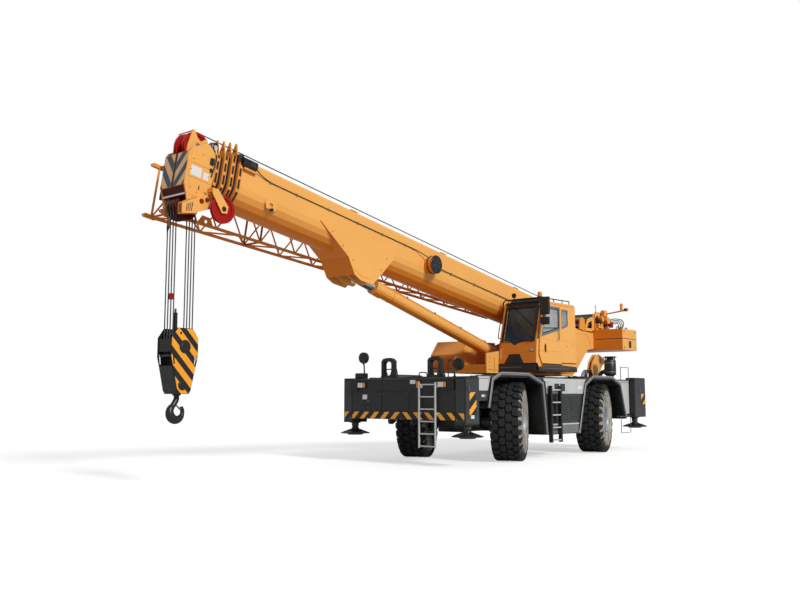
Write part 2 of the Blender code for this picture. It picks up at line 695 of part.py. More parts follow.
CAB_SIDE = ((-0.35, CAB_LOW), (1.60, CAB_LOW), (1.70, 2.35), (1.66, 2.90), (1.38, 3.86), (1.30, 3.93),
            (-0.28, 3.93), (-0.35, 3.86))
CAB_ROOM = ((-0.30, CAB_FLOOR), (1.645, CAB_FLOOR), (1.61, 2.90), (1.34, 3.83), (1.28, 3.88),
            (-0.26, 3.88), (-0.30, 3.84))
DOOR_HOLE = ((0.56, 2.42), (1.42, 2.42), (1.54, 2.60), (1.51, 2.93), (1.27, 3.78), (0.56, 3.78))
QUARTER_HOLE = ((-0.18, 2.96), (0.36, 2.96), (0.36, 3.76), (-0.18, 3.76))


def cab(upper):
    y0, y1 = CAB_Y
    shell = outline(list(CAB_SIDE), "y", (y0, y1))
    shell = cut(shell, outline(list(CAB_ROOM), "y", (y0 + CAB_WALL, y1 - CAB_WALL)))
    shell = cut(shell, outline(list(DOOR_HOLE), "y", (y1 - 0.2, y1 + 0.2)),
                outline(list(QUARTER_HOLE), "y", (y1 - 0.2, y1 + 0.2)),
                outline([(-0.10, 2.96), (1.42, 2.96), (1.22, 3.70), (-0.10, 3.70)],
                        "y", (y0 - 0.2, y0 + 0.2)),
                outline([(y0 + 0.14, 2.96), (y1 - 0.14, 2.96), (y1 - 0.14, 3.76), (y0 + 0.14, 3.76)],
                        "x", (-0.6, 0.0)),
                outline([(y0 + 0.10, 2.62), (y1 - 0.10, 2.62), (y1 - 0.10, 3.80), (y0 + 0.10, 3.80)],
                        "x", (1.2, 2.0)))
    rail = box((-0.28, 1.45), (y1 - 0.01, y1 + RUN + 0.04), (DOOR_LOW - 0.04, DOOR_LOW - SEAT))
    shell = union(shell, rail)
    place("cab_shell", shell, "orange", upper)
    slope = [(1.655, 2.62), (1.62, 2.90), (1.36, 3.80), (1.348, 3.80), (1.608, 2.90), (1.643, 2.62)]
    screen = outline(slope, "y", (y0 + 0.10 + SEAT, y1 - 0.10 - SEAT))
    place("windshield", screen, "glass", upper)
    back = box((-0.345, -0.333), (y0 + 0.14 + SEAT, y1 - 0.14 - SEAT), (2.96 + SEAT, 3.76 - SEAT))
    place("rear_window", back, "glass", upper)
    quarter = box((-0.18 + SEAT, 0.36 - SEAT), (y1 - 0.02, y1 - 0.008), (2.96 + SEAT, 3.76 - SEAT))
    place("quarter_window", quarter, "glass", upper)
    right = outline([(-0.10 + SEAT, 2.96 + SEAT), (1.42 - 2 * SEAT, 2.96 + SEAT),
                     (1.22 - SEAT, 3.70 - SEAT), (-0.10 + SEAT, 3.70 - SEAT)], "y", (y0 + 0.02, y0 + 0.032))
    place("right_window", right, "glass", upper)
    gap = y1 + RUN
    door = outline([(0.50, DOOR_LOW), (1.44, DOOR_LOW), (1.59, 2.56), (1.56, 2.95), (1.30, 3.84),
                    (0.50, 3.84)], "y", (gap, gap + 0.035),
                   holes=([(0.58, 2.90), (1.47, 2.96), (1.24, 3.76), (0.58, 3.76)],))
    handle = tube([(1.32, gap + 0.03, 2.62), (1.32, gap + 0.075, 2.64), (1.32, gap + 0.075, 2.82),
                   (1.32, gap + 0.03, 2.84)], 0.012)
    door = union(door, handle)
    place("cab_door", door, "orange", upper)
    pane = outline([(0.58 + SEAT, 2.90 + 2 * SEAT), (1.47 - SEAT, 2.96 + SEAT), (1.24 - SEAT, 3.76 - SEAT),
                    (0.58 + SEAT, 3.76 - SEAT)], "y", (gap + 0.010, gap + 0.022))
    place("door_glass", pane, "glass", upper)
    interior(upper)


def interior(upper):
    floor = CAB_FLOOR + SEAT
    middle = 1.08
    body = box((-0.25, 1.45), (0.62, 1.50), (floor, floor + 0.02))
    body = union(body,
                 box((0.15, 0.62), (middle - 0.18, middle + 0.18), (floor + 0.01, floor + 0.34)),
                 box((0.10, 0.66), (middle - 0.26, middle + 0.26), (floor + 0.32, floor + 0.46)),
                 outline([(0.10, floor + 0.40), (0.24, floor + 0.40), (0.12, floor + 1.10),
                          (0.0, floor + 1.10)], "y", (middle - 0.24, middle + 0.24)),
                 box((0.20, 0.75), (middle - 0.40, middle - 0.30), (floor + 0.3, floor + 0.60)),
                 box((0.20, 0.75), (middle + 0.30, middle + 0.40), (floor + 0.3, floor + 0.60)),
                 box((0.25, 0.50), (middle - 0.40, middle + 0.40), (floor + 0.28, floor + 0.34)),
                 rod((1.25, middle, floor + 0.01), (1.12, middle, floor + 0.62), 0.04, SMALL),
                 rod((1.125, middle, floor + 0.60), (1.10, middle, floor + 0.64), 0.19, 20))
    place("cab_interior", body, "seat", upper)


def counterweight(upper):
    x0, x1 = WEIGHT_X
    corner_r = 0.16
    plan = [(x1, -WEIGHT_HALF), (x1, WEIGHT_HALF)]
    plan += arc((x0 + corner_r, WEIGHT_HALF - corner_r), corner_r, 90, 180, 5)
    plan += arc((x0 + corner_r, corner_r - WEIGHT_HALF), corner_r, 180, 270, 5)
    body = outline(plan, "z", WEIGHT_Z)
    place("counterweight", body, "orange", upper)
    top = WEIGHT_Z[1] + SEAT
    frame = box((-4.55, -3.58), (-0.62, 0.62), (top, top + 0.06))
    for x in (-4.20, -3.78 + 0.02):
        drum = turned([(0, 0.52), (0.24, 0.52), (0.24, 0.48), (0.17, 0.48), (0.17, -0.48), (0.24, -0.48),
                       (0.24, -0.52), (0, -0.52)], (x, 0, top + 0.287), "y")
        frame = union(frame, drum)
    for s in (1, -1):
        cheek = outline([(-4.50, top + 0.03), (-4.50, top + 0.40), (-4.35, top + 0.56), (-3.70, top + 0.56),
                         (-3.60, top + 0.45), (-3.60, top + 0.03)], "y", (s * 0.50, s * 0.56))
        frame = union(frame, cheek)
    x = -4.05
    arm = tube([(x, 0.53, top + 0.46), (x, 0.60, top + 0.50), (x, 0.96, top + 0.54),
                (x, 1.36, top + 0.59)], 0.022)
    frame = union(frame, arm, box((x - 0.05, x + 0.05), (1.30, 1.42), (top + 0.555, top + 0.645)),
                  rod((x, 1.21, top + 0.56), (x, 1.21, top + 0.70), 0.045, SMALL))
    place("winches", frame, "orange", upper)


def right_cabinet(upper):
    body = outline([(0.30, 2.155 + SEAT), (1.90, 2.155 + SEAT), (1.90, 2.62), (1.60, 2.98), (0.30, 2.98)],
                   "y", (-1.50, -PLATE_IN - PLATE_T - SEAT))
    body = cut(body, box((0.33, 1.57), (-1.47, -0.53), (1.9, 2.90)))
    place("right_cabinet", body, "orange", upper)


# Boom

def section_outline(step):
    """Outer outline of a boom section in (y, v): flat top, round belly."""
    half = BOOM_HALF - step
    top = BOOM_TOP - step
    corner_r = 0.07
    points = arc((0, BELLY_V), half, 180, 360, 10)
    points += arc((half - corner_r, top - corner_r), corner_r, 0, 90, 2)
    points += arc((corner_r - half, top - corner_r), corner_r, 90, 180, 2)
    return points


def section(step, rear, front):
    """One hollow section, open at its front and rear."""
    return outline(section_outline(step), "x", (rear, front), holes=(section_outline(step + SECTION_WALL),))


def collar(step, front):
    """The thicker ring round a section's mouth, with a pointed rope guide on top."""
    ring = outline(section_outline(step - COLLAR_T), "x", (front - COLLAR_STEP + 0.03, front),
                   holes=(section_outline(step + 0.01),))
    low = BOOM_TOP - step + 0.015
    tip = 1.02 - step * 0.75
    fin = outline([(0.07, low), (0.29, low), (0.255, low + 0.12), (0.205, tip), (0.175, tip),
                   (0.11, low + 0.10)], "x", (front - 0.055, front - 0.03))
    return union(ring, fin)


def mouth_pads(step, front):
    """Wear pads inside a section's mouth that carry the next section."""
    room = SECTION_STEP - SECTION_WALL
    half = BOOM_HALF - step - SECTION_WALL
    low = BELLY_V - half
    pads = [box((front - 0.28, front - 0.02), (-0.10, 0.10), (low - 0.01, low + room - 0.0008))]
    for s in (1, -1):
        pads.append(box((front - 0.28, front - 0.02), (s * (half + 0.005), s * (half - room + 0.0008)),
                        (0.30, 0.42)))
    return pads


def boom(pivot):
    base = section(0, BASE_REAR + 0.35, BASE_FRONT)
    rear = outline([(-0.22, -0.16), (0.0, -0.24), (0.5, -0.24), (0.9, 0.1), (0.9, BOOM_TOP), (0.1, BOOM_TOP),
                    (-0.22, 0.30)], "y", (-BOOM_HALF, BOOM_HALF))
    rear = cut(rear, box((-0.5, 1.0), (-BOOM_HALF + 0.06, BOOM_HALF - 0.06), (-0.18, BOOM_TOP - 0.05)))
    pin = rod((0, -0.58, 0), (0, 0.58, 0), PIVOT_PIN_R)
    base = union(base, rear)
    base = union(base, pin, collar(0, BASE_FRONT), *mouth_pads(0, BASE_FRONT))
    base = union(base, cylinder_bracket())
    for u in JIB_SEATS:
        base = union(base, box((u - 0.08, u + 0.08), (-0.66, -BOOM_HALF + 0.015), (0.25, 0.50)))
    reel = rod((6.45, BOOM_HALF - 0.01, 0.28), (6.45, BOOM_HALF + 0.20, 0.28), 0.20)
    base = union(base, reel)
    place("boom_base", base, "orange", pivot)
    front = BASE_FRONT
    for number in (2, 3, 4):
        step = (number - 1) * SECTION_STEP
        front += COLLAR_STEP + 0.02
        body = section(step, SECTION_REAR + 0.2 * number, front)
        body = union(body, collar(step, front), *mouth_pads(step, front))
        place(f"boom_section_{number}", body, "orange", pivot, (SECTION_REAR, 0, 0))
    head(pivot, front)


def cylinder_bracket():
    """Gusset plates and ears under the boom that the luffing cylinder's rod pushes on."""
    angle = math.atan2(LUFF_EYE[1] - PIVOT[1], LUFF_EYE[0] - PIVOT[0]) - BOOM_ANGLE
    reach = math.hypot(LUFF_EYE[0] - PIVOT[0], LUFF_EYE[1] - PIVOT[1])
    u = reach * math.cos(angle)
    v = reach * math.sin(angle)
    pieces = []
    for s in (1, -1):
        pieces.append(outline([(u + 1.67, 0.20), (u + 0.75, -0.30), (u + 0.50, -0.62), (u + 0.30, -0.69),
                               (u - 0.08, -0.69), (u - 0.25, -0.50), (u - 0.68, 0.05), (u - 0.72, 0.22)],
                              "y", (s * (BOOM_HALF - 0.012), s * (BOOM_HALF + 0.02))))
        ear = [(u + 0.9, -0.10), (u + 0.50, -0.60), (u + 0.20, v - 0.17), (u - 0.08, v - 0.16),
               (u - 0.17, v - 0.05), (u - 0.17, -0.10)]
        pieces.append(outline(ear, "y", (s * (EYE_HALF + RUN), s * (EYE_HALF + RUN + EAR_T))))
        pieces.append(rod((u, s * (EYE_HALF + RUN + 0.01), v), (u, s * (EYE_HALF + RUN + 0.09), v), 0.09))
    front = [(u + 1.55, 0.13), (u + 0.75, -0.30), (u + 0.50, -0.62), (u + 0.47, -0.60), (u + 0.70, -0.25),
             (u + 1.50, 0.17)]
    pieces.append(outline(front, "y", (0.001 - BOOM_HALF, BOOM_HALF - 0.001)))
    bracket = union(pieces[0], *pieces[1:])
    return cut(bracket, outline(section_outline(SECTION_WALL / 2), "x", (u - 1.5, u + 2.5)))


def head(pivot, front):
    """The tip section and the boom head: side plates, nose, inner ears and the side sheave's arm."""
    step = 4 * SECTION_STEP
    tip = front + COLLAR_STEP + 0.02
    inner = HEAD_HALF - HEAD_T
    wall = outline(section_outline(0.05), "x", (tip - 0.105, tip - 0.065),
                   holes=(section_outline(step + 0.01),))
    body = union(section(step, SECTION_REAR + 1.2, tip - 0.07), wall)
    plate = [(tip - 0.08, -0.135), (tip - 0.065, 0.55), (tip + 0.01, 0.64), (tip + 0.145, 0.70),
             (tip + 0.45, 0.504), (tip + 0.475, 0.44), (tip + 0.475, -0.20), (tip + 0.405, -0.37),
             (tip + 0.325, -0.64), (tip + 0.135, -0.64), (tip + 0.045, -0.33)]
    ear = [(tip - 0.02, 0.20), (tip - 0.02, 0.74), (tip + 0.09, 0.82), (tip + 0.19, 0.74), (tip + 0.26, 0.78),
           (tip + 0.35, 0.91), (tip + 0.39, 0.90), (tip + 0.45, 0.58), (tip + 0.45, 0.20)]
    nose = (tip + 0.465, tip + 0.49)
    for s in (1, -1):
        body = union(body, outline(plate, "y", (s * inner, s * HEAD_HALF)),
                     outline(ear, "y", (s * EAR_IN, s * (EAR_IN + EAR_TH))),
                     box(nose, (s * 0.03, s * (HEAD_HALF - 0.005)), (-0.19, 0.435)))
    body = union(body,
                 box((tip - 0.09, tip + 0.48), (-inner - 0.01, inner + 0.01), (0.24, 0.27)),
                 box((tip + 0.375, tip + 0.415), (-inner - 0.01, inner + 0.01), (-0.345, -0.325)),
                 rod((tip + 0.37, -EAR_IN - EAR_TH, 0.89), (tip + 0.37, EAR_IN + EAR_TH, 0.89), 0.012, SMALL))
    body = union(body, *side_sheave_arm())
    place("boom_tip", body, "orange", pivot, (tip, 0, 0))
    sheaves(pivot, "upper_sheaves", TOP_SHEAVE, TOP_SHEAVE_R, TOP_SHEAVE_Y, EAR_IN - SEAT)
    sheaves(pivot, "aux_sheave", (AUX_SHEAVE[0], AUX_SHEAVE[1], AUX_Y), AUX_SHEAVE_R, (0,), AUX_GAP - SEAT)


def side_sheave_arm():
    """A pierced arm on the head's cab side, with the fork that carries one more sheave."""
    u, v = AUX_SHEAVE
    arm = outline([(u + 0.77, v - 0.11), (u + 0.50, v + 0.07), (u + 0.08, v + 0.32), (u - 0.01, v + 0.30),
                   (u - 0.03, v + 0.07), (u + 0.03, v + 0.04), (u + 0.47, v - 0.20), (u + 0.74, v - 0.30)],
                  "y", (HEAD_HALF - 0.01, 0.46))
    arm = cut(arm, *[rod((u + du, 0, v + dv), (u + du, 1, v + dv), r, SMALL)
                     for du, dv, r in ((0.38, 0.035, 0.055), (0.27, 0.095, 0.05), (0.13, 0.17, 0.065))])
    link = box((u + 0.17, u + 0.30), (0.45, AUX_Y + AUX_GAP + 0.01), (v + 0.225, v + 0.30))
    fork = [(u + 0.29, v + 0.29), (u + 0.18, v + 0.31), (u - 0.09, v + 0.06), (u - 0.08, v - 0.06),
            (u + 0.03, v - 0.09), (u + 0.29, v + 0.20)]
    plates = [outline(fork, "y", (AUX_Y + s * AUX_GAP, AUX_Y + s * (AUX_GAP + 0.016))) for s in (1, -1)]
    return [union(arm, link, *plates)]


def sheave_pack(centre, radius, places, half_width, pin_r=0.05):
    """Sheaves on one pin, turned in one piece."""
    profile = [(0, half_width), (pin_r, half_width)]
    rim = radius + SHEAVE_RIM
    for y in sorted(places, reverse=True):
        profile += [(pin_r, y + 0.03), (rim, y + 0.03), (radius - ROPE_R, y), (rim, y - 0.03),
                    (pin_r, y - 0.03)]
    profile += [(pin_r, -half_width), (0, -half_width)]
    return turned(profile, centre, "y", SHEAVE_SIDES)


def sheaves(pivot, name, centre, radius, places, half_width):
    """Red sheaves on a pin: the centre is (u, v) on the boom's middle plane, or (u, v, y)."""
    u, v, y = (*centre, 0)[:3]
    body = sheave_pack((u, y, v), radius, places, half_width)
    place(name, body, "red", pivot, (u, y, v))


# Jib, lengthwise stations: u, then half width in y and the two heights
JIB_Y = -1.00
JIB_BAR = 0.07
JIB_STATIONS = (
    # u,    half, low,   high,  bays up to the next station
    (1.70, 0.17, 0.17, 0.52, 8),
    (10.60, 0.29, -0.32, 0.55, 2),
    (12.85, 0.30, -0.45, 0.62, 0),
)
JIB_SEATS = (3.2, 10.2)


def jib_solid(inset=0.0, past=0.0):
    """The jib's outer form, or the room inside its bars, run past both ends."""
    rings = []
    for u, half, low, high, _ in JIB_STATIONS:
        half -= inset
        rings.append([Vector((u, JIB_Y - half, low + inset)), Vector((u, JIB_Y + half, low + inset)),
                      Vector((u, JIB_Y + half, high - inset)), Vector((u, JIB_Y - half, high - inset))])
    for corner in rings[0]:
        corner.x -= past
    for corner in rings[-1]:
        corner.x += past
    return lofted(rings)


def lattice_windows(rows):
    """Triangles between the braces of one face, over bays that taper: (u, low, high) rows."""
    windows = []
    for (u0, low0, high0), (u1, low1, high1), bays in rows:
        bay = (u1 - u0) / bays
        for k in range(bays):
            def edge(u, share):
                t = (u - u0) / (u1 - u0)
                low = low0 + (low1 - low0) * t + JIB_BAR
                high = high0 + (high1 - high0) * t - JIB_BAR
                return (u, low + (high - low) * share)
            a = u0 + bay * k
            slant = JIB_BAR * 0.75
            windows.append([edge(a + slant, 0), edge(a + bay - slant, 0), edge(a + bay / 2, 1)])
            windows.append([edge(a + slant / 2, 1), edge(a + bay / 2 - slant, 1), edge(a + slant / 2, 0.25)])
            windows.append([edge(a + bay / 2 + slant, 1), edge(a + bay - slant / 2, 1),
                            edge(a + bay - slant / 2, 0.25)])
    return windows


def jib(pivot):
    body = cut(jib_solid(), jib_solid(JIB_BAR - 0.015, 0.05))
    sides = []
    tops = []
    for near, far in zip(JIB_STATIONS, JIB_STATIONS[1:]):
        sides.append(((near[0], near[2], near[3]), (far[0], far[2], far[3]), near[4]))
        tops.append(((near[0], JIB_Y - near[1], JIB_Y + near[1]),
                     (far[0], JIB_Y - far[1], JIB_Y + far[1]), near[4]))
    side_windows = lattice_windows(sides)
    top_windows = lattice_windows(tops)
    body = cut(body, outline(side_windows[0], "y", (JIB_Y - 1, JIB_Y + 1), holes=side_windows[1:]),
               outline(top_windows[0], "z", (-1, 1), holes=top_windows[1:]))
    u, half, low, high, _ = JIB_STATIONS[-1]
    for v in (low + 0.06, high - 0.06):
        for s in (1, -1):
            y = JIB_Y + s * (half - 0.026)
            body = union(body, box((u - 0.033, u + 0.20), (y - 0.034, y + 0.033), (v - 0.09, v + 0.088)))
    for u in JIB_SEATS:
        body = union(body, box((u - 0.06, u + 0.06), (-0.66 - SEAT, -0.84), (0.28, 0.46)))
    place("stowed_jib", body, "orange", pivot)


# Luffing cylinder

def luff_cylinder(foot, length):
    barrel = turned([(0, BARREL_LEN), (BARREL_R + 0.015, BARREL_LEN), (BARREL_R + 0.015, BARREL_LEN - 0.22),
                     (BARREL_R, BARREL_LEN - 0.24), (BARREL_R, 0.30), (0.11, 0.18), (0, 0.18)],
                    (0, 0, 0), "x", ROUND)
    barrel = cut(barrel,
                 rod((0.40, 0, 0), (BARREL_LEN - 0.20, 0, 0), BORE_R),
                 rod((BARREL_LEN - 0.30, 0, 0), (BARREL_LEN + 0.2, 0, 0), ROD_R + PIN_GAP))
    eye = rod((0, -EYE_HALF, 0), (0, EYE_HALF, 0), 0.125)
    pin = rod((0, -EYE_HALF - 0.07, 0), (0, EYE_HALF + 0.07, 0), FOOT_PIN_R)
    neck = box((0.0, 0.25), (-0.08, 0.08), (-0.10, 0.10))
    barrel = union(barrel, eye, pin, neck)
    place("luff_barrel", barrel, "orange", foot)
    shaft = rod((length - ROD_LEN, 0, 0), (length, 0, 0), ROD_R)
    eye = rod((length, -EYE_HALF, 0), (length, EYE_HALF, 0), EYE_R)
    shaft = union(shaft, eye)
    hole = rod((length, -1, 0), (length, 1, 0), 0.06)
    shaft = cut(shaft, hole)
    place("luff_rod", shaft, "chrome", foot, (length, 0, 0))


# Hook block, hanging in a frame of its own: z up, origin on the head's lower sheave pin

def hook_block(hang):
    z = -BLOCK_DROP
    wide = FALL_PITCH * (FALLS - 1) / 2
    places = [FALL_PITCH * i - wide for i in range(FALLS)]
    pack = sheave_pack((0, 0, z), SHEAVE_R, places, CHEEK_IN - SEAT)
    pack = union(pack, sheave_pack((0, 0, 0), SHEAVE_R, places, HEAD_HALF - HEAD_T - SEAT))
    for y in places:
        for s in (1, -1):
            pack = union(pack, rod((s * SHEAVE_R, y, z), (s * SHEAVE_R, y, 0), ROPE_R, 6))
    place("sheaves_and_falls", pack, "steel", hang)
    low = z - BLOCK_LOW
    half = CHEEK_IN + CHEEK_T
    right = [(0.155, z + 0.29), (0.275, z + 0.12), (0.275, z - 0.21), (0.12, low)]
    cheek = [(-x, h) for x, h in right] + right[::-1]
    body = box((-0.125, 0.125), (-half, half), (low, low + 0.20))
    for s in (1, -1):
        plate = outline(cheek, "y", (s * CHEEK_IN, s * half))
        body = union(body, plate)
    body = cut(body, rod((0, 0, low - 1.0), (0, 0, low + 0.16), round_hole(0.053, 12), 12))
    place("hook_block", body, "charcoal", hang, (0, 0, z - 0.6))
    eye = low - 0.30
    bend = arc((0.0, eye - 0.01), 0.13, 125, 400, 12)
    ring = [(0.0, 0, low + 0.13), (0.0, 0, eye + 0.19)]
    radii = [0.05, 0.052]
    for i, (x, h) in enumerate(bend):
        share = i / (len(bend) - 1)
        ring.append((-x, 0, h))
        radii.append(0.05 + 0.024 * math.sin(math.pi * min(1, share * 1.35)) - 0.018 * share)
    body = bent(ring, radii)
    body = union(body, rod((0, 0, low - SEAT), (0, 0, low - 0.03), 0.075))
    place("hook", body, "charcoal", hang, (0, 0, low))


def bent(points, radii):
    """A bar through points, with its own radius at each one."""
    curve = bpy.data.curves.new("bar", "CURVE")
    curve.dimensions = "3D"
    curve.bevel_depth = 1
    curve.bevel_resolution = 2
    curve.use_fill_caps = True
    spline = curve.splines.new("POLY")
    spline.points.add(len(points) - 1)
    for point, where, radius in zip(spline.points, points, radii):
        point.co = (*where, 1)
        point.radius = radius
    obj = linked(curve)
    bpy.context.view_layer.update()
    return settle(obj)


def centre_on_origin(root):
    """Move the root so that the crane's bottom centre is the origin."""
    bpy.context.view_layer.update()
    corners = [obj.matrix_world @ vert.co for obj in PARTS.objects if obj.type == "MESH"
               for vert in obj.data.vertices]
    for axis in (0, 1):
        values = [corner[axis] for corner in corners]
        root.location[axis] -= (min(values) + max(values)) / 2
    root.location[2] -= min(corner[2] for corner in corners)
    bpy.context.view_layer.update()


def main():
    root = empty("crane")
    carrier_frame(root)
    deck(root)
    outriggers(root)
    engine_bay(root)
    ladders(root)
    running_gear(root)
    upper = empty("superstructure", root)
    turntable(upper)
    cab(upper)
    counterweight(upper)
    right_cabinet(upper)
    pivot = empty("boom_pivot", upper, (PIVOT[0], 0, PIVOT[1]), -BOOM_ANGLE)
    boom(pivot)
    jib(pivot)
    rise = LUFF_EYE[1] - LUFF_FOOT[1]
    run = LUFF_EYE[0] - LUFF_FOOT[0]
    foot = empty("luff_foot", upper, (LUFF_FOOT[0], 0, LUFF_FOOT[1]), -math.atan2(rise, run))
    luff_cylinder(foot, math.hypot(rise, run))
    hang = empty("hook_hang", pivot, (LOW_SHEAVE[0], 0, LOW_SHEAVE[1]), BOOM_ANGLE)
    hook_block(hang)
    centre_on_origin(root)


main()
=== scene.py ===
"""Looks of the rough terrain crane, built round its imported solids.

Metres. The places below are written as in the solids' source: x = 0 is the slewing axis, and the
boom, the luffing cylinder and the hook block have frames of their own.
"""
import math

import bmesh
import bpy
from mathutils import Matrix, Vector


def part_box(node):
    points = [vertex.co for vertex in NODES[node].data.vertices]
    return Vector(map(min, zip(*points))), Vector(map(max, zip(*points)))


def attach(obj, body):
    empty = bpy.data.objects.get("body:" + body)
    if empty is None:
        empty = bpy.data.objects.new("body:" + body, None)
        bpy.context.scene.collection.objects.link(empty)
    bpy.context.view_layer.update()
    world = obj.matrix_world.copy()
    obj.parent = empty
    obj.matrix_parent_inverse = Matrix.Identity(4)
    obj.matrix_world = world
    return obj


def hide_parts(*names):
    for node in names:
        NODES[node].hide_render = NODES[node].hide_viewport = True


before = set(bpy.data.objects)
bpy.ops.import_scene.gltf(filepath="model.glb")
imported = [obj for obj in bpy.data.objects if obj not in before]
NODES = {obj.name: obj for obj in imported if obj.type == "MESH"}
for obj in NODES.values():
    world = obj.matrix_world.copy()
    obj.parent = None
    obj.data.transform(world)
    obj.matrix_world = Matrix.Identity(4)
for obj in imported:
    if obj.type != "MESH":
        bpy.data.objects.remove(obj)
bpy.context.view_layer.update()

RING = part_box("slew_ring")
SLEW = Matrix.Translation(((RING[0].x + RING[1].x) / 2, 0, 0))
PIVOT = (-1.90, 3.28)
ANGLE = math.radians(9)
BOOM = SLEW @ Matrix.Translation((PIVOT[0], 0, PIVOT[1])) @ Matrix.Rotation(-ANGLE, 4, "Y")
LOW_SHEAVE = (13.075, -0.50)
TOP_SHEAVE = (13.10, 0.62)
AUX_SHEAVE = (12.63, -0.45)
AUX_Y = 0.56
HANG = BOOM @ Matrix.Translation((LOW_SHEAVE[0], 0, LOW_SHEAVE[1])) @ Matrix.Rotation(ANGLE, 4, "Y")
FOOT_AT = (-0.30, 2.25)
EYE_AT = (6.50, 4.08)
LUFF = math.atan2(EYE_AT[1] - FOOT_AT[1], EYE_AT[0] - FOOT_AT[0])
FOOT = SLEW @ Matrix.Translation((FOOT_AT[0], 0, FOOT_AT[1])) @ Matrix.Rotation(-LUFF, 4, "Y")
BLOCK_Z = -2.42

# Levels and faces of the solids, a hair outside them so that a fine piece can lie on each

FRONT_FACE = 4.9802
REAR_FACE = -4.3002
BOX_TOP = 1.9402
DECK_TOP = 1.9802
PANEL_FACE = 1.6062
LEG_FACE = 1.7702
CAB_SIDE = 1.6002
CAB_FLOOR = 2.3205
WEIGHT_TOP = 3.5203


# Materials

MATS = {}
SUN = Vector((0.16, 0.84, 0.52)).normalized()
ORANGE = (0.74, 0.195, 0.006)
# painted light: a paler copy of the orange, for faces that look towards the sun
PAINTED_LIT_ORANGE = (0.84, 0.415, 0.105)
DEEP = (0.62, 0.135, 0.007)
# painted light: a paler copy of the deep orange, for faces that look towards the sun
PAINTED_LIT_DEEP = (0.80, 0.31, 0.04)
SIGNAL = (0.95, 0.42, 0.035)
NEAR_BLACK = (0.010, 0.010, 0.011)
CHARCOAL = (0.016, 0.017, 0.019)
# painted highlight: a pale cream for faces that look up
PAINTED_TOP_HIGHLIGHT = (0.74, 0.50, 0.25)
DUST = (0.42, 0.38, 0.31)
MUD = (0.17, 0.14, 0.11)


class Nodes:
    """A material's node tree, with short calls for the nodes used here."""

    def __init__(self, name):
        self.mat = bpy.data.materials.new(name)
        self.mat.use_nodes = True
        self.tree = self.mat.node_tree
        self.shader = self.tree.nodes["Principled BSDF"]
        self.coord = self.new("ShaderNodeTexCoord").outputs["Object"]
        MATS[name] = self.mat

    def new(self, kind, **settings):
        node = self.tree.nodes.new(kind)
        for key, value in settings.items():
            setattr(node, key, value)
        return node

    def link(self, a, b):
        self.tree.links.new(a, b)

    def put(self, socket, value):
        if isinstance(value, bpy.types.NodeSocket):
            self.link(value, socket)
        else:
            socket.default_value = value

    def noise(self, scale, detail):
        node = self.new("ShaderNodeTexNoise")
        node.inputs["Scale"].default_value = scale
        node.inputs["Detail"].default_value = detail
        node.inputs["Roughness"].default_value = 0.55
        self.link(self.coord, node.inputs["Vector"])
        return node.outputs["Fac"]

    def math(self, op, a, b=0.0):
        node = self.new("ShaderNodeMath", operation=op)
        for socket, value in zip(node.inputs, (a, b)):
            self.put(socket, value)
        return node.outputs[0]

    def span(self, value, low, high, to_low=0.0, to_high=1.0):
        """A value carried from one range to another, and held at its ends."""
        node = self.new("ShaderNodeMapRange")
        for socket, v in zip(node.inputs, (value, low, high, to_low, to_high)):
            self.put(socket, v)
        return node.outputs[0]

    def mix(self, factor, a, b):
        node = self.new("ShaderNodeMix", data_type="RGBA")
        self.put(node.inputs[0], factor)
        for socket, colour in ((node.inputs[6], a), (node.inputs[7], b)):
            self.put(socket, colour if isinstance(colour, bpy.types.NodeSocket) else (*colour, 1))
        return node.outputs[2]

    def axis(self, name):
        if not hasattr(self, "split"):
            self.split = self.new("ShaderNodeSeparateXYZ")
            self.link(self.coord, self.split.inputs[0])
        return self.split.outputs[name]

    def up(self):
        """How far a face looks up, from -1 to 1."""
        node = self.new("ShaderNodeNewGeometry")
        split = self.new("ShaderNodeSeparateXYZ")
        self.link(node.outputs["Normal"], split.inputs[0])
        return split.outputs["Z"]

    def facing(self, way):
        """How far a face looks one way, from -1 to 1."""
        node = self.new("ShaderNodeNewGeometry")
        dot = self.new("ShaderNodeVectorMath", operation="DOT_PRODUCT")
        self.link(node.outputs["Normal"], dot.inputs[0])
        dot.inputs[1].default_value = way
        return dot.outputs["Value"]

    def bump(self, height, strength, distance=0.01):
        node = self.new("ShaderNodeBump")
        node.inputs["Strength"].default_value = strength
        node.inputs["Distance"].default_value = distance
        self.link(height, node.inputs["Height"])
        self.link(node.outputs[0], self.shader.inputs["Normal"])


def shade(colour, k):
    """A colour made lighter or darker."""
    return tuple(min(1.0, c * k) for c in colour)


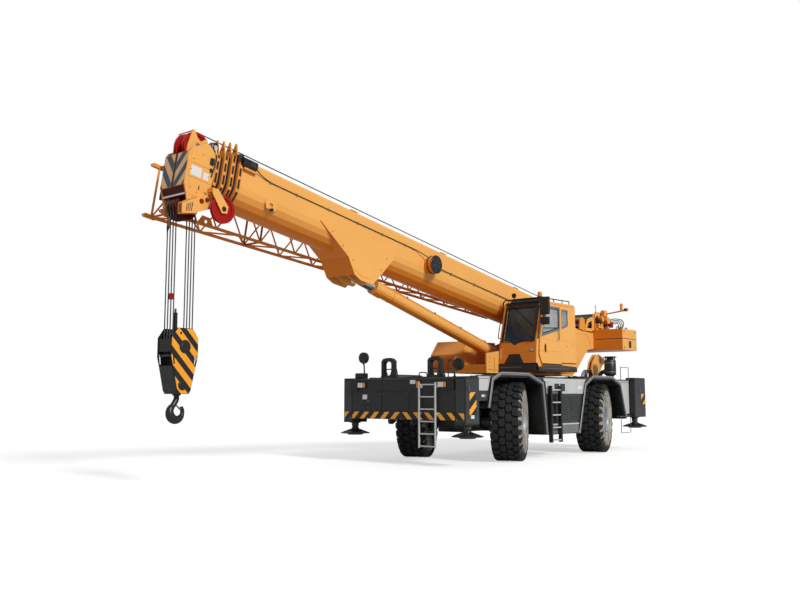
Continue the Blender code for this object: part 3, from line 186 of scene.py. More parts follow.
def painted(name, colour, rough=0.38, metal=0.0, vary=0.10, size=0.9, dust=0.10, coat=0.0, grain=60,
            bump=0.05, low_dirt=0.0, painted_lit_colour=None):
    """Paint or bare metal with cloudy tone, uneven gloss, dust on top faces and dirt near the ground. Given a
    lit colour, it also paints light: a paler tone on faces towards the sun and a pale painted highlight on
    top faces.
    """
    n = Nodes(name)
    tone = n.mix(n.span(n.noise(size, 4), 0.3, 0.7), shade(colour, 1 - vary), shade(colour, 1 + vary / 2))
    # painted light: faces that look towards the sun get a paler copy of the colour
    if painted_lit_colour:
        painted_lit_tone = n.mix(n.span(n.noise(size, 4), 0.3, 0.7), shade(painted_lit_colour, 1 - vary), painted_lit_colour)
        tone = n.mix(n.span(n.facing(SUN), 0.05, 0.80), tone, painted_lit_tone)
        # painted highlight: faces that look up turn towards pale cream
        tone = n.mix(n.span(n.up(), 0.75, 0.97, 0.0, 0.55), tone, PAINTED_TOP_HIGHLIGHT)
    if dust:
        patches = n.span(n.noise(5, 4), 0.35, 0.65, 0.4, 1.0)
        layer = n.math("MULTIPLY", n.span(n.up(), 0.55, 1.0, 0.0, dust), patches)
        tone = n.mix(layer, tone, DUST)
    if low_dirt:
        splash = n.math("MULTIPLY", n.span(n.axis("Z"), 1.3, 0.3, 0.0, low_dirt),
                        n.span(n.noise(7, 5), 0.4, 0.6, 0.25, 1.0))
        tone = n.mix(splash, tone, MUD)
    n.link(tone, n.shader.inputs["Base Color"])
    n.link(n.span(n.noise(size * 7, 4), 0.3, 0.7, rough - 0.07, rough + 0.10), n.shader.inputs["Roughness"])
    n.shader.inputs["Metallic"].default_value = metal
    if painted_lit_colour or name.endswith("red"):
        n.shader.inputs["Specular IOR Level"].default_value = 0.22
    if coat:
        n.shader.inputs["Coat Weight"].default_value = coat
        n.shader.inputs["Coat Roughness"].default_value = 0.12
    n.bump(n.noise(grain, 3), bump)
    return n


def striped(name, first, second, weights, period, fold=None, share=0.5, shift=0.0):
    """Two paints in stripes, at a slant given by weights of x, y and z. Fold mirrors them about a y."""
    n = Nodes(name)
    y = n.axis("Y")
    if fold is not None:
        y = n.math("ABSOLUTE", n.math("SUBTRACT", y, fold))
    along = n.math("MULTIPLY", n.axis("X"), weights[0])
    across = n.math("MULTIPLY", y, weights[1])
    rise = n.math("MULTIPLY", n.axis("Z"), weights[2])
    total = n.math("ADD", n.math("ADD", along, across), rise)
    # the 50 whole periods keep the phase above zero
    phase = n.math("FRACT", n.math("ADD", n.math("DIVIDE", total, period), 50 + shift))
    on = n.math("LESS_THAN", phase, share)
    cloud = n.span(n.noise(3, 4), 0.3, 0.7)
    a = n.mix(cloud, shade(first, 0.88), first)
    b = n.mix(cloud, shade(second, 0.85), second)
    n.link(n.mix(on, b, a), n.shader.inputs["Base Color"])
    n.link(n.span(n.noise(9, 4), 0.3, 0.7, 0.40, 0.53), n.shader.inputs["Roughness"])
    n.bump(n.noise(70, 3), 0.04)


def make_materials():
    painted("orange", ORANGE, 0.34, vary=0.06, coat=0.06, dust=0.05, bump=0.03, painted_lit_colour=PAINTED_LIT_ORANGE)
    painted("deep_orange", DEEP, 0.42, vary=0.12, dust=0.05, painted_lit_colour=PAINTED_LIT_DEEP)
    painted("charcoal", CHARCOAL, 0.42, vary=0.25, dust=0.10, low_dirt=0.25)
    painted("black", (0.010, 0.011, 0.012), 0.38, vary=0.3, dust=0.06)
    painted("grey", (0.15, 0.165, 0.175), 0.38, vary=0.12, dust=0.4, low_dirt=0.2)
    painted("slate", (0.032, 0.038, 0.042), 0.42, vary=0.15, dust=0.1, low_dirt=0.25)
    painted("silver", (0.56, 0.57, 0.57), 0.36, 0.1, vary=0.06, dust=0.12, coat=0.1)
    painted("rim", (0.36, 0.41, 0.46), 0.40, 0.25, vary=0.10, dust=0.10, low_dirt=0.12)
    painted("steel", (0.26, 0.26, 0.27), 0.42, 0.75, vary=0.2, size=4, dust=0.1, low_dirt=0.3)
    painted("iron", (0.055, 0.055, 0.058), 0.48, 0.35, vary=0.3, size=3, dust=0.16, low_dirt=0.4)
    painted("chrome", (0.78, 0.79, 0.80), 0.12, 1.0, vary=0.03, dust=0.0, bump=0.0)
    painted("red", (0.36, 0.006, 0.005), 0.46, vary=0.2, dust=0.03)
    # painted shade: a much darker copy of the red, for sheaves and head parts that sit in shade
    painted("painted_shade_red", (0.075, 0.006, 0.005), 0.5, vary=0.25, dust=0.03)
    painted("white", (0.72, 0.72, 0.70), 0.45, vary=0.04, dust=0.08)
    painted("plastic", (0.022, 0.023, 0.025), 0.55, vary=0.15, dust=0.08, grain=240, bump=0.12)
    painted("hose", (0.014, 0.014, 0.015), 0.5, vary=0.2, grain=180, bump=0.1)
    painted("brown_pipe", (0.30, 0.13, 0.045), 0.4, vary=0.15)
    painted("seat_shell", (0.03, 0.03, 0.034), 0.6, vary=0.1, grain=200, bump=0.15)
    painted("tread_plate", (0.20, 0.205, 0.205), 0.40, 0.5, vary=0.15, dust=0.2)
    rope()
    tyre_rubber()
    cloth()
    lamp("amber", (0.95, 0.27, 0.02), 0.12)
    lamp("red_lens", (0.62, 0.02, 0.012), 0.15)
    lamp("clear_lens", (0.75, 0.78, 0.80), 0.08)
    glass()
    striped("hazard_front", SIGNAL, NEAR_BLACK, (0, 1.0, 1.0), 0.31, fold=0.0, share=0.43, shift=0.10)
    striped("hazard_leg", SIGNAL, NEAR_BLACK, (1.0, 0, 1.25), 0.42, share=0.45, shift=0.3)
    striped("hazard_block", (0.92, 0.36, 0.015), (0.008, 0.008, 0.009), (-1.0, 0.0, 0.95), 0.285, share=0.52,
            shift=0.991)
    striped("chevron", (0.80, 0.45, 0.20), (0.045, 0.080, 0.125), (0.16, -1.25, 1.0), 0.36, fold=0.0,
            share=0.5)


def rope():
    n = Nodes("wire_rope")
    wave = n.new("ShaderNodeTexWave", wave_type="BANDS", bands_direction="DIAGONAL")
    wave.inputs["Scale"].default_value = 40
    n.link(n.coord, wave.inputs["Vector"])
    n.link(n.mix(wave.outputs["Fac"], (0.030, 0.030, 0.033), (0.085, 0.085, 0.09)),
           n.shader.inputs["Base Color"])
    n.shader.inputs["Metallic"].default_value = 0.6
    n.shader.inputs["Roughness"].default_value = 0.5
    n.bump(wave.outputs["Fac"], 0.4, 0.003)


def tyre_rubber():
    """Rubber of the tread blocks, dusty sidewall and dark groove."""
    n = Nodes("rubber")
    tone = n.mix(n.span(n.noise(6, 5), 0.35, 0.65), (0.005, 0.006, 0.007), (0.014, 0.016, 0.017))
    n.link(tone, n.shader.inputs["Base Color"])
    n.link(n.span(n.noise(12, 4), 0.3, 0.7, 0.62, 0.85), n.shader.inputs["Roughness"])
    n.bump(n.noise(90, 4), 0.2)
    n = Nodes("sidewall")
    dusty = n.span(n.noise(5, 5), 0.32, 0.62)
    tone = n.mix(dusty, (0.10, 0.095, 0.088), (0.40, 0.365, 0.32))
    n.link(tone, n.shader.inputs["Base Color"])
    n.shader.inputs["Roughness"].default_value = 0.85
    n.bump(n.noise(70, 4), 0.25)
    n = Nodes("groove")
    tone = n.mix(n.span(n.noise(8, 4), 0.4, 0.6), (0.006, 0.006, 0.006), (0.022, 0.02, 0.018))
    n.link(tone, n.shader.inputs["Base Color"])
    n.shader.inputs["Roughness"].default_value = 0.9


def cloth():
    n = Nodes("seat_cloth")
    weave = n.new("ShaderNodeTexWave", wave_type="BANDS", bands_direction="X")
    weave.inputs["Scale"].default_value = 160
    n.link(n.coord, weave.inputs["Vector"])
    n.link(n.mix(n.noise(30, 4), (0.022, 0.022, 0.026), (0.05, 0.05, 0.055)), n.shader.inputs["Base Color"])
    n.shader.inputs["Roughness"].default_value = 0.9
    n.shader.inputs["Sheen Weight"].default_value = 0.25
    n.bump(weave.outputs["Fac"], 0.3, 0.003)


def lamp(name, colour, rough):
    n = Nodes(name)
    ridges = n.new("ShaderNodeTexWave", wave_type="BANDS", bands_direction="Z")
    ridges.inputs["Scale"].default_value = 30
    n.link(n.coord, ridges.inputs["Vector"])
    n.link(n.mix(ridges.outputs["Fac"], shade(colour, 0.75), colour), n.shader.inputs["Base Color"])
    n.shader.inputs["Roughness"].default_value = rough
    n.shader.inputs["Coat Weight"].default_value = 0.6
    n.bump(ridges.outputs["Fac"], 0.15, 0.004)


def glass():
    """Tinted panes, pale panes and mirror glass."""
    panes = (("tinted_glass", (0.022, 0.055, 0.085), (0.045, 0.095, 0.135), 0.42),
             ("pale_glass", (0.46, 0.49, 0.51), (0.74, 0.76, 0.77), 0.60))
    for name, dark, light, through in panes:
        n = Nodes(name)
        n.link(n.mix(n.span(n.noise(2, 3), 0.35, 0.65), dark, light), n.shader.inputs["Base Color"])
        n.shader.inputs["Roughness"].default_value = 0.02
        n.shader.inputs["Transmission Weight"].default_value = through
        n.shader.inputs["IOR"].default_value = 1.15
        n.shader.inputs["Coat Weight"].default_value = 0.8
        n.shader.inputs["Coat Roughness"].default_value = 0.02
    n = Nodes("mirror_glass")
    n.link(n.mix(n.noise(3, 2), (0.55, 0.58, 0.60), (0.62, 0.65, 0.67)), n.shader.inputs["Base Color"])
    n.shader.inputs["Metallic"].default_value = 1.0
    n.shader.inputs["Roughness"].default_value = 0.05


# Shapes

def smooth_path(points, steps, closed=False):
    """A Catmull-Rom curve through the points."""
    pts = [Vector(p) for p in points]
    count = len(pts)
    if steps < 2 or count < 3:
        return pts
    result = []
    spans = count if closed else count - 1
    for i in range(spans):
        p1, p2 = pts[i], pts[(i + 1) % count]
        p0 = pts[i - 1] if i or closed else p1 * 2 - p2
        p3 = pts[(i + 2) % count] if i + 2 < count or closed else p2 * 2 - p1
        for k in range(steps):
            t = k / steps
            result.append(0.5 * ((2 * p1) + (p2 - p0) * t + (2 * p0 - 5 * p1 + 4 * p2 - p3) * t * t
                                 + (3 * p1 - p0 - 3 * p2 + p3) * t ** 3))
    if not closed:
        result.append(pts[-1])
    return result


def arc(centre, radius, first, last, steps):
    """Points along part of a circle between two angles in degrees."""
    points = []
    for i in range(steps + 1):
        a = math.radians(first + (last - first) * i / steps)
        points.append((centre[0] + radius * math.cos(a), centre[1] + radius * math.sin(a)))
    return points


def circle(centre, radius, count, first=0.0):
    """Points evenly round a circle. The first stands at that share of a step."""
    turns = [2 * math.pi * (i + first) / count for i in range(count)]
    return [(centre[0] + radius * math.cos(t), centre[1] + radius * math.sin(t)) for t in turns]


def lift(point, axis, height):
    """A point of a plane, put at a height along the axis across that plane."""
    spot = list(point)
    spot.insert("xyz".index(axis), height)
    return spot


def mirror(side):
    """Turns y over for side -1 and leaves it for side 1."""
    return Matrix.Diagonal((1, side, 1, 1))


class Piece:
    """Shapes gathered into one mesh, which then rides on a body.

    A box is given by its spans in x, y and z. Extra is a further placing within the piece's own frame.
    """

    def __init__(self, name, body, slot, place=SLEW, stands_for=()):
        self.name = name
        self.body = body
        self.slot = slot
        self.place = place
        self.stands_for = stands_for
        self.verts = []
        self.faces = []
        self.index = []
        self.mats = []

    def add(self, bm, mat, extra=None):
        bmesh.ops.recalc_face_normals(bm, faces=bm.faces)
        bm.verts.index_update()
        if mat not in self.mats:
            self.mats.append(mat)
        number = self.mats.index(mat)
        base = len(self.verts)
        move = self.place if extra is None else self.place @ extra
        # a mirrored place would turn the faces inside out
        turned = -1 if move.determinant() < 0 else 1
        self.verts += [move @ v.co for v in bm.verts]
        for face in bm.faces:
            self.faces.append([base + v.index for v in face.verts][::turned])
            self.index.append(number)
        bm.free()

    def box(self, x, y, z, mat, bevel=0.006, extra=None):
        low = Vector([min(pair) for pair in (x, y, z)])
        high = Vector([max(pair) for pair in (x, y, z)])
        bm = bmesh.new()
        size = Matrix.Diagonal((*(high - low), 1))
        bmesh.ops.create_cube(bm, size=1, matrix=Matrix.Translation((low + high) / 2) @ size)
        edge = min(bevel, 0.3 * min(high - low))
        if edge > 0:
            bmesh.ops.bevel(bm, geom=bm.edges[:], offset=edge, segments=1, affect="EDGES")
        self.add(bm, mat, extra)

    def prism(self, points, axis, span, mat, bevel=0.004, holes=(), extra=None):
        """An outline made solid along an axis: (y, z) for x, (x, z) for y, (x, y) for z."""
        bm = bmesh.new()
        low, high = sorted(span)
        if holes:
            edges = []
            for ring in (points, *holes):
                verts = [bm.verts.new(lift(p, axis, low)) for p in ring]
                edges += [bm.edges.new((verts[i - 1], verts[i])) for i in range(len(verts))]
            bmesh.ops.triangle_fill(bm, use_beauty=True, use_dissolve=False, edges=edges)
            made = bmesh.ops.extrude_face_region(bm, geom=bm.faces[:])
            top = [v for v in made["geom"] if isinstance(v, bmesh.types.BMVert)]
            shift = Vector(lift((0, 0), axis, high - low))
            bmesh.ops.translate(bm, vec=shift, verts=top)
        else:
            near = [bm.verts.new(lift(p, axis, low)) for p in points]
            far = [bm.verts.new(lift(p, axis, high)) for p in points]
            ends = [bm.faces.new(near), bm.faces.new(far)]
            for i in range(len(points)):
                bm.faces.new((near[i - 1], near[i], far[i], far[i - 1]))
            edge = min(bevel, 0.3 * (high - low))
            if edge > 0:
                bmesh.ops.recalc_face_normals(bm, faces=bm.faces)
                bm.normal_update()
                rim = [e for face in ends for e in face.edges]
                bmesh.ops.bevel(bm, geom=rim, offset=edge, segments=1, affect="EDGES")
        self.add(bm, mat, extra)

    def rod(self, a, b, radius, mat, end=None, sides=20, extra=None):
        a, b = Vector(a), Vector(b)
        turn = (b - a).to_track_quat("Z", "Y").to_matrix().to_4x4()
        bm = bmesh.new()
        bmesh.ops.create_cone(bm, cap_ends=True, segments=sides, radius1=radius,
                              radius2=radius if end is None else end, depth=(b - a).length,
                              matrix=Matrix.Translation((a + b) / 2) @ turn)
        self.add(bm, mat, extra)

    def tube(self, points, radius, mat, sides=10, closed=False, steps=1, extra=None):
        """A round bar swept along a path, with its own frame carried along."""
        path = smooth_path(points, steps, closed)
        count = len(path)
        radii = radius if isinstance(radius, (list, tuple)) else [radius] * count
        bm = bmesh.new()
        rows = []
        side = None
        for i, here in enumerate(path):
            before = path[i - 1] if i or closed else here
            after = path[(i + 1) % count] if i + 1 < count or closed else here
            tangent = (after - before).normalized()
            if side is None:
                side = tangent.orthogonal().normalized()
            side = (side - tangent * side.dot(tangent)).normalized()
            other = tangent.cross(side)
            rows.append([bm.verts.new(here + (side * math.cos(2 * math.pi * k / sides)
                                              + other * math.sin(2 * math.pi * k / sides)) * radii[i])
                         for k in range(sides)])
        pairs = list(zip(rows, rows[1:]))
        if closed:
            pairs.append((rows[-1], rows[0]))
        for near, far in pairs:
            for k in range(sides):
                bm.faces.new((near[k - 1], near[k], far[k], far[k - 1]))
        if not closed:
            bm.faces.new(rows[0])
            bm.faces.new(rows[-1])
        self.add(bm, mat, extra)

    def lathe(self, profile, centre, axis, mat, sides=40, closed=False, extra=None):
        """A turned shape: (radius, height) pairs round an axis through the centre."""
        bm = bmesh.new()
        columns = []
        for k in range(sides):
            a = 2 * math.pi * k / sides
            column = []
            for r, h in profile:
                spot = lift((r * math.cos(a), r * math.sin(a)), axis, h)
                column.append(bm.verts.new(Vector(centre) + Vector(spot)))
            columns.append(column)
        last = len(profile) if closed else len(profile) - 1
        for k in range(sides):
            for i in range(last):
                j = (i + 1) % len(profile)
                bm.faces.new((columns[k - 1][i], columns[k][i], columns[k][j], columns[k - 1][j]))
        bmesh.ops.remove_doubles(bm, verts=bm.verts, dist=1e-5)
        self.add(bm, mat, extra)

    def nuts(self, places, way, radius, height, mat="steel"):
        """Hexagon heads that stand on a surface and face a way. Their feet sink in a little."""
        way = Vector(way)
        for spot in places:
            spot = Vector(spot)
            foot = spot - way * 0.002
            self.rod(foot, spot + way * height, radius, mat, end=radius * 0.94, sides=6)

    def bolt_circle(self, centre, way, ring, count, radius, height, first=0.0):
        """Steel heads evenly round a circle that lies across the way they face."""
        k = [abs(part) for part in way].index(1)
        flat = list(centre)
        level = flat.pop(k)
        places = [lift(point, "xyz"[k], level) for point in circle(flat, ring, count, first)]
        self.nuts(places, way, radius, height)

    def done(self, smooth=28):
        """Makes the mesh and gives it its body and the solids it stands for."""
        mesh = bpy.data.meshes.new(self.name)
        mesh.from_pydata(self.verts, [], self.faces)
        for mat in self.mats:
            mesh.materials.append(MATS[mat])
        mesh.polygons.foreach_set("material_index", self.index)
        mesh.update()
        mesh.shade_smooth()
        mesh.set_sharp_from_angle(angle=math.radians(smooth))
        obj = bpy.data.objects.new(self.name, mesh)
        bpy.context.scene.collection.objects.link(obj)
        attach(obj, self.body)
        if self.stands_for:
            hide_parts(*self.stands_for)
        return obj


def four(name):
    """The names of a part that stands at each corner of the carrier."""
    return [f"{name}_{end}_{letter}" for end in ("front", "rear") for letter in ("left", "right")]


def paint_nodes():
    """Finishes of the solids that are shown as they are."""
    names = {
        "orange": ("boom_base", "boom_section_2", "boom_section_3", "boom_section_4", "boom_tip", "turntable",
                   "cab_shell", "cab_door", "counterweight", "right_cabinet", "luff_barrel", "winches"),
        "charcoal": ("carrier_frame", "front_outrigger_box", "rear_outrigger_box", "engine_hood",
                     "air_cleaner", *four("outrigger_beam")),
        "slate": ("deck_left", "deck_right"),
        "black": ("hook_block", "hook", "ladder_left"),
        "iron": ("front_axle", "rear_axle", "engine", "slew_ring", *four("knuckle"), *four("jack")),
        "silver": ("ladder_front",),
        "chrome": ("luff_rod",),
        "seat_shell": ("cab_interior",),
        "tinted_glass": ("windshield", "rear_window", "right_window"),
        "pale_glass": ("quarter_window", "door_glass"),
        "rim": four("wheel"),
        "rubber": four("tyre"),
        "red": ("upper_sheaves", "aux_sheave"),
        "wire_rope": ("sheaves_and_falls",),
        "deep_orange": ("stowed_jib",),
    }
    for mat, nodes in names.items():
        for node in nodes:
            mesh = NODES[node].data
            mesh.materials.clear()
            mesh.materials.append(MATS[mat])
            mesh.polygons.foreach_set("material_index", [0] * len(mesh.polygons))
            mesh.shade_smooth()
            mesh.set_sharp_from_angle(angle=math.radians(30))


# Tyres and wheels

TYRE_R = 0.935
TRACK = 2.63
AXLES = {"front": 2.60, "rear": -1.79}
TURN = {"front": math.radians(25), "rear": math.radians(16)}
KINGPIN_IN = 0.395
LUGS = 26
SIDE = {"left": 1, "right": -1}


def corner(end, side):
    """A wheel's own frame as it is parked, turned about its kingpin."""
    pin = Matrix.Translation((AXLES[end], side * (TRACK / 2 - KINGPIN_IN), TYRE_R))
    return SLEW @ pin @ Matrix.Rotation(TURN[end], 4, "Z") @ Matrix.Translation((0, side * KINGPIN_IN, 0))


def tyre(end, letter):
    """Carcass, then a hooked lug in the middle and a bar over the shoulder for each share of the tread."""
    side = SIDE[letter]
    piece = Piece(f"tyre_tread_{end}_{letter}", f"wheel_{end}_{letter}", "tyre",
                  corner(end, side), (f"tyre_{end}_{letter}",))
    depth = 0.048
    shoulder = 0.33
    wall = [(0.330, 0.300), (0.355, 0.318), (0.40, 0.335), (0.46, 0.352), (0.475, 0.360), (0.485, 0.353),
            (0.56, 0.366), (0.66, 0.372), (0.74, 0.366), (0.80, 0.352), (0.845, 0.330), (0.872, 0.300)]
    inner = [(0.84, 0.25), (0.70, 0.30), (0.50, 0.29), (0.330, 0.245)]
    for s in (1, -1):
        piece.lathe([(r, s * y) for r, y in wall], (0, 0, 0), "y", "sidewall", 72)
    piece.lathe([(0.872, 0.300), (TYRE_R - depth, 0.26), (TYRE_R - depth, -0.26), (0.872, -0.300)],
                (0, 0, 0), "y", "groove", 72)
    piece.lathe([(r, y) for r, y in inner] + [(r, -y) for r, y in reversed(inner)], (0, 0, 0), "y", "groove",
                48)
    for s in (1, -1):
        piece.lathe([(0.330, s * 0.300), (0.330, s * 0.245)], (0, 0, 0), "y", "groove", 72)

    def lug(outline, base):
        """A block on the tread: its outline in (angle share, y, radius) at the top, drawn in at the foot."""
        bm = bmesh.new()
        middle = sum(p[0] for p in outline) / len(outline)
        across = sum(p[1] for p in outline) / len(outline)
        top, foot = [], []
        for a, y, r in outline:
            t = 2 * math.pi * a / LUGS
            top.append(bm.verts.new((r * math.sin(t), y, r * math.cos(t))))
            t = 2 * math.pi * (middle + (a - middle) * 1.08) / LUGS
            low = r - base
            foot.append(bm.verts.new((low * math.sin(t), across + (y - across) * 1.05, low * math.cos(t))))
        bm.faces.new(top)
        for i in range(len(outline)):
            bm.faces.new((foot[i - 1], foot[i], top[i], top[i - 1]))
        bm.normal_update()
        bmesh.ops.recalc_face_normals(bm, faces=bm.faces)
        rim = [e for e in bm.edges if all(v in top for v in e.verts)]
        bmesh.ops.bevel(bm, geom=rim, offset=0.007, segments=1, affect="EDGES")
        piece.add(bm, "rubber")

    r = TYRE_R - 0.0005
    for k in range(LUGS):
        for s in (1, -1):
            o = k + (0.5 if s < 0 else 0.0)
            lug([(o - 0.42, s * 0.020, r), (o - 0.14, s * 0.004, r), (o + 0.22, s * 0.010, r),
                 (o + 0.46, s * 0.045, r), (o + 0.36, s * 0.135, r), (o + 0.02, s * 0.165, r),
                 (o - 0.34, s * 0.130, r)], depth + 0.004)
            o += 0.5
            # rows across a bar: y, radius, half its length and its lag, both in shares of a lug's step
            bars = [(0.165, r, 0.30, -0.03), (0.30, r - 0.001, 0.33, 0.03), (0.345, r - 0.035, 0.32, 0.06),
                    (0.366, r - 0.10, 0.26, 0.08), (0.3735, r - 0.19, 0.20, 0.09)]
            bm = bmesh.new()
            rows = []
            for y, radius, wide, slip in bars:
                row = []
                for low in (0, 1):
                    for e in (-1, 1):
                        t = 2 * math.pi * (o + slip + e * wide * (1 if low else 0.9)) / LUGS
                        drop = depth + 0.006 if low else 0
                        if y > shoulder:
                            spot = (radius * math.sin(t), s * (y - low * 0.05), radius * math.cos(t))
                        else:
                            spot = ((radius - drop) * math.sin(t), s * y, (radius - drop) * math.cos(t))
                        row.append(bm.verts.new(spot))
                rows.append([row[0], row[1], row[3], row[2]])
            for near, far in zip(rows, rows[1:]):
                for i in range(4):
                    bm.faces.new((near[i - 1], near[i], far[i], far[i - 1]))
            bm.faces.new(rows[0])
            bm.faces.new(rows[-1])
            piece.add(bm, "rubber")
    piece.done(35)


def wheel(end, letter):
    """Rim, dished disc, hub, bolts and valve stem."""
    side = SIDE[letter]
    piece = Piece(f"wheel_rim_{end}_{letter}", f"wheel_{end}_{letter}", "painted_rim",
                  corner(end, side) @ mirror(side), (f"wheel_{end}_{letter}",))
    rim = [(0.317, 0.295), (0.322, 0.318), (0.345, 0.335), (0.362, 0.345), (0.362, 0.340), (0.350, 0.345),
           (0.335, 0.345), (0.318, 0.332), (0.306, 0.310), (0.298, 0.26), (0.292, 0.14), (0.290, 0.02),
           (0.292, -0.20), (0.300, -0.30), (0.335, -0.345), (0.362, -0.345), (0.345, -0.335), (0.317, -0.295)]
    piece.lathe(rim, (0, 0, 0), "y", "rim", 64, closed=True)
    piece.lathe([(0.294, 0.060), (0.280, 0.050), (0.262, 0.026), (0.235, 0.025), (0.225, 0.012),
                 (0.17, 0.010), (0.17, -0.015), (0.294, -0.015)], (0, 0, 0), "y", "rim", 64)
    piece.lathe([(0.205, 0.010), (0.205, 0.050), (0.190, 0.062), (0.165, 0.064), (0.160, 0.150),
                 (0.148, 0.190), (0.120, 0.215), (0.060, 0.222), (0.0, 0.223)], (0, 0, 0), "y", "iron", 48)
    out = (0, 1, 0)
    piece.bolt_circle((0, 0.024, 0), out, 0.245, 18, 0.0135, 0.022)
    piece.bolt_circle((0, 0.062, 0), out, 0.182, 12, 0.009, 0.010, first=0.5)
    piece.bolt_circle((0, 0.214, 0), out, 0.105, 8, 0.008, 0.008)
    valve_at = 1.9
    stem = ((0.30, 0.20), (0.27, 0.24), (0.25, 0.27))
    piece.tube([(r * math.cos(valve_at), y, r * math.sin(valve_at)) for r, y in stem], 0.006, "steel", 8)
    piece.done(30)


# Boom, in its own frame: u along it from the pivot, v across it

# each section is a STEP smaller all round than the one outside it, and its collar stands a PITCH further out
BASE_FRONT = 12.305
TIP = BASE_FRONT + 0.56
PITCH = 0.14
STEP = 0.045
ROPE_AT = (0.155, 0.895)
SECTIONS = ("boom", "section_2", "section_3", "section_4", "tip")
BOOM_HALF = 0.39
BOOM_TOP = 0.73
BELLY = 0.17


def section_ring(step):
    """Outline of a boom section in (y, v): flat top, round belly."""
    half, top, r = BOOM_HALF - step, BOOM_TOP - step, 0.07
    return (arc((0, BELLY), half, 180, 360, 28) + arc((half - r, top - r), r, 0, 90, 5)
            + arc((r - half, top - r), r, 90, 180, 5))


def collars():
    """Collar dressing: seals, pad covers, bolts and rope guides, one set on each section. The black bands in
    the collars and in the gaps between them are partly seals and partly painted shade.
    """
    for k, body in enumerate(SECTIONS[:4]):
        front = BASE_FRONT + PITCH * k
        step = STEP * k
        half = BOOM_HALF - step + 0.035
        p = Piece(f"collar_{k + 1}", body, "painted_orange", BOOM)
        for low, high in ((0.020, 0.006), (0.084, 0.072)):
            p.prism(section_ring(step - 0.043), "x", (front - low, front - high), "deep_orange",
                    holes=(section_ring(step - 0.036),))
        # black band between the collar's two rings: a seal, and painted shade in the gap
        p.prism(section_ring(step - 0.0365), "x", (front - 0.068, front - 0.026), "black",
                holes=(section_ring(step - 0.0353),))
        for s in (1, -1):
            for v in (0.06, 0.30, 0.52):
                lean = max(0.0, BELLY - v)
                out = math.sqrt(max(0.0, half ** 2 - lean ** 2))
                p.box((front - 0.070, front - 0.022), (s * (out - 0.004), s * (out + 0.012)),
                      (v - 0.035, v + 0.035), "orange", 0.004)
                p.nuts([(front - 0.046, s * (out + 0.012), v + d) for d in (-0.02, 0.02)], (0, s, 0), 0.008,
                       0.007)
        top = BOOM_TOP - step + 0.035
        for y in (-0.24, -0.12, 0.0):
            p.nuts([(front - 0.045, y, top)], (0, 0, 1), 0.010, 0.009)
        guide = 1.02 - step * 0.75
        p.box((front - 0.060, front - 0.024), (0.165, 0.215), (guide - 0.17, guide - 0.145), "black", 0.003)
        p.tube([(front - 0.062, 0.10, top + 0.06), (front - 0.062, 0.255, top + 0.06)], 0.012, "steel", 10)
        p.done()
        # black band round the next section in the gap: a wiper seal, and painted shade in the gap
        inner = Piece(f"seal_and_shade_{k + 1}", SECTIONS[k + 1], "painted_charcoal", BOOM)
        inner.prism(section_ring(step + STEP - 0.030), "x", (front + 0.003, front + 0.046), "black",
                    holes=(section_ring(step + STEP - 0.001),))
        inner.done()


def hoist_rope():
    """The rope over the boom, one length for each section, each a little thinner than the one round it."""
    for k, body in enumerate(SECTIONS):
        radius = 0.0115 - 0.0002 * k
        start = 0.9 + 0.1 * k if k else 0.10
        end = 12.24 + (0.86 if body == "tip" else PITCH * k)
        p = Piece(f"hoist_rope_{k + 1}", body, "steel", BOOM)
        p.rod((start, *ROPE_AT), (end, *ROPE_AT), radius, "wire_rope", sides=8)
        p.done()


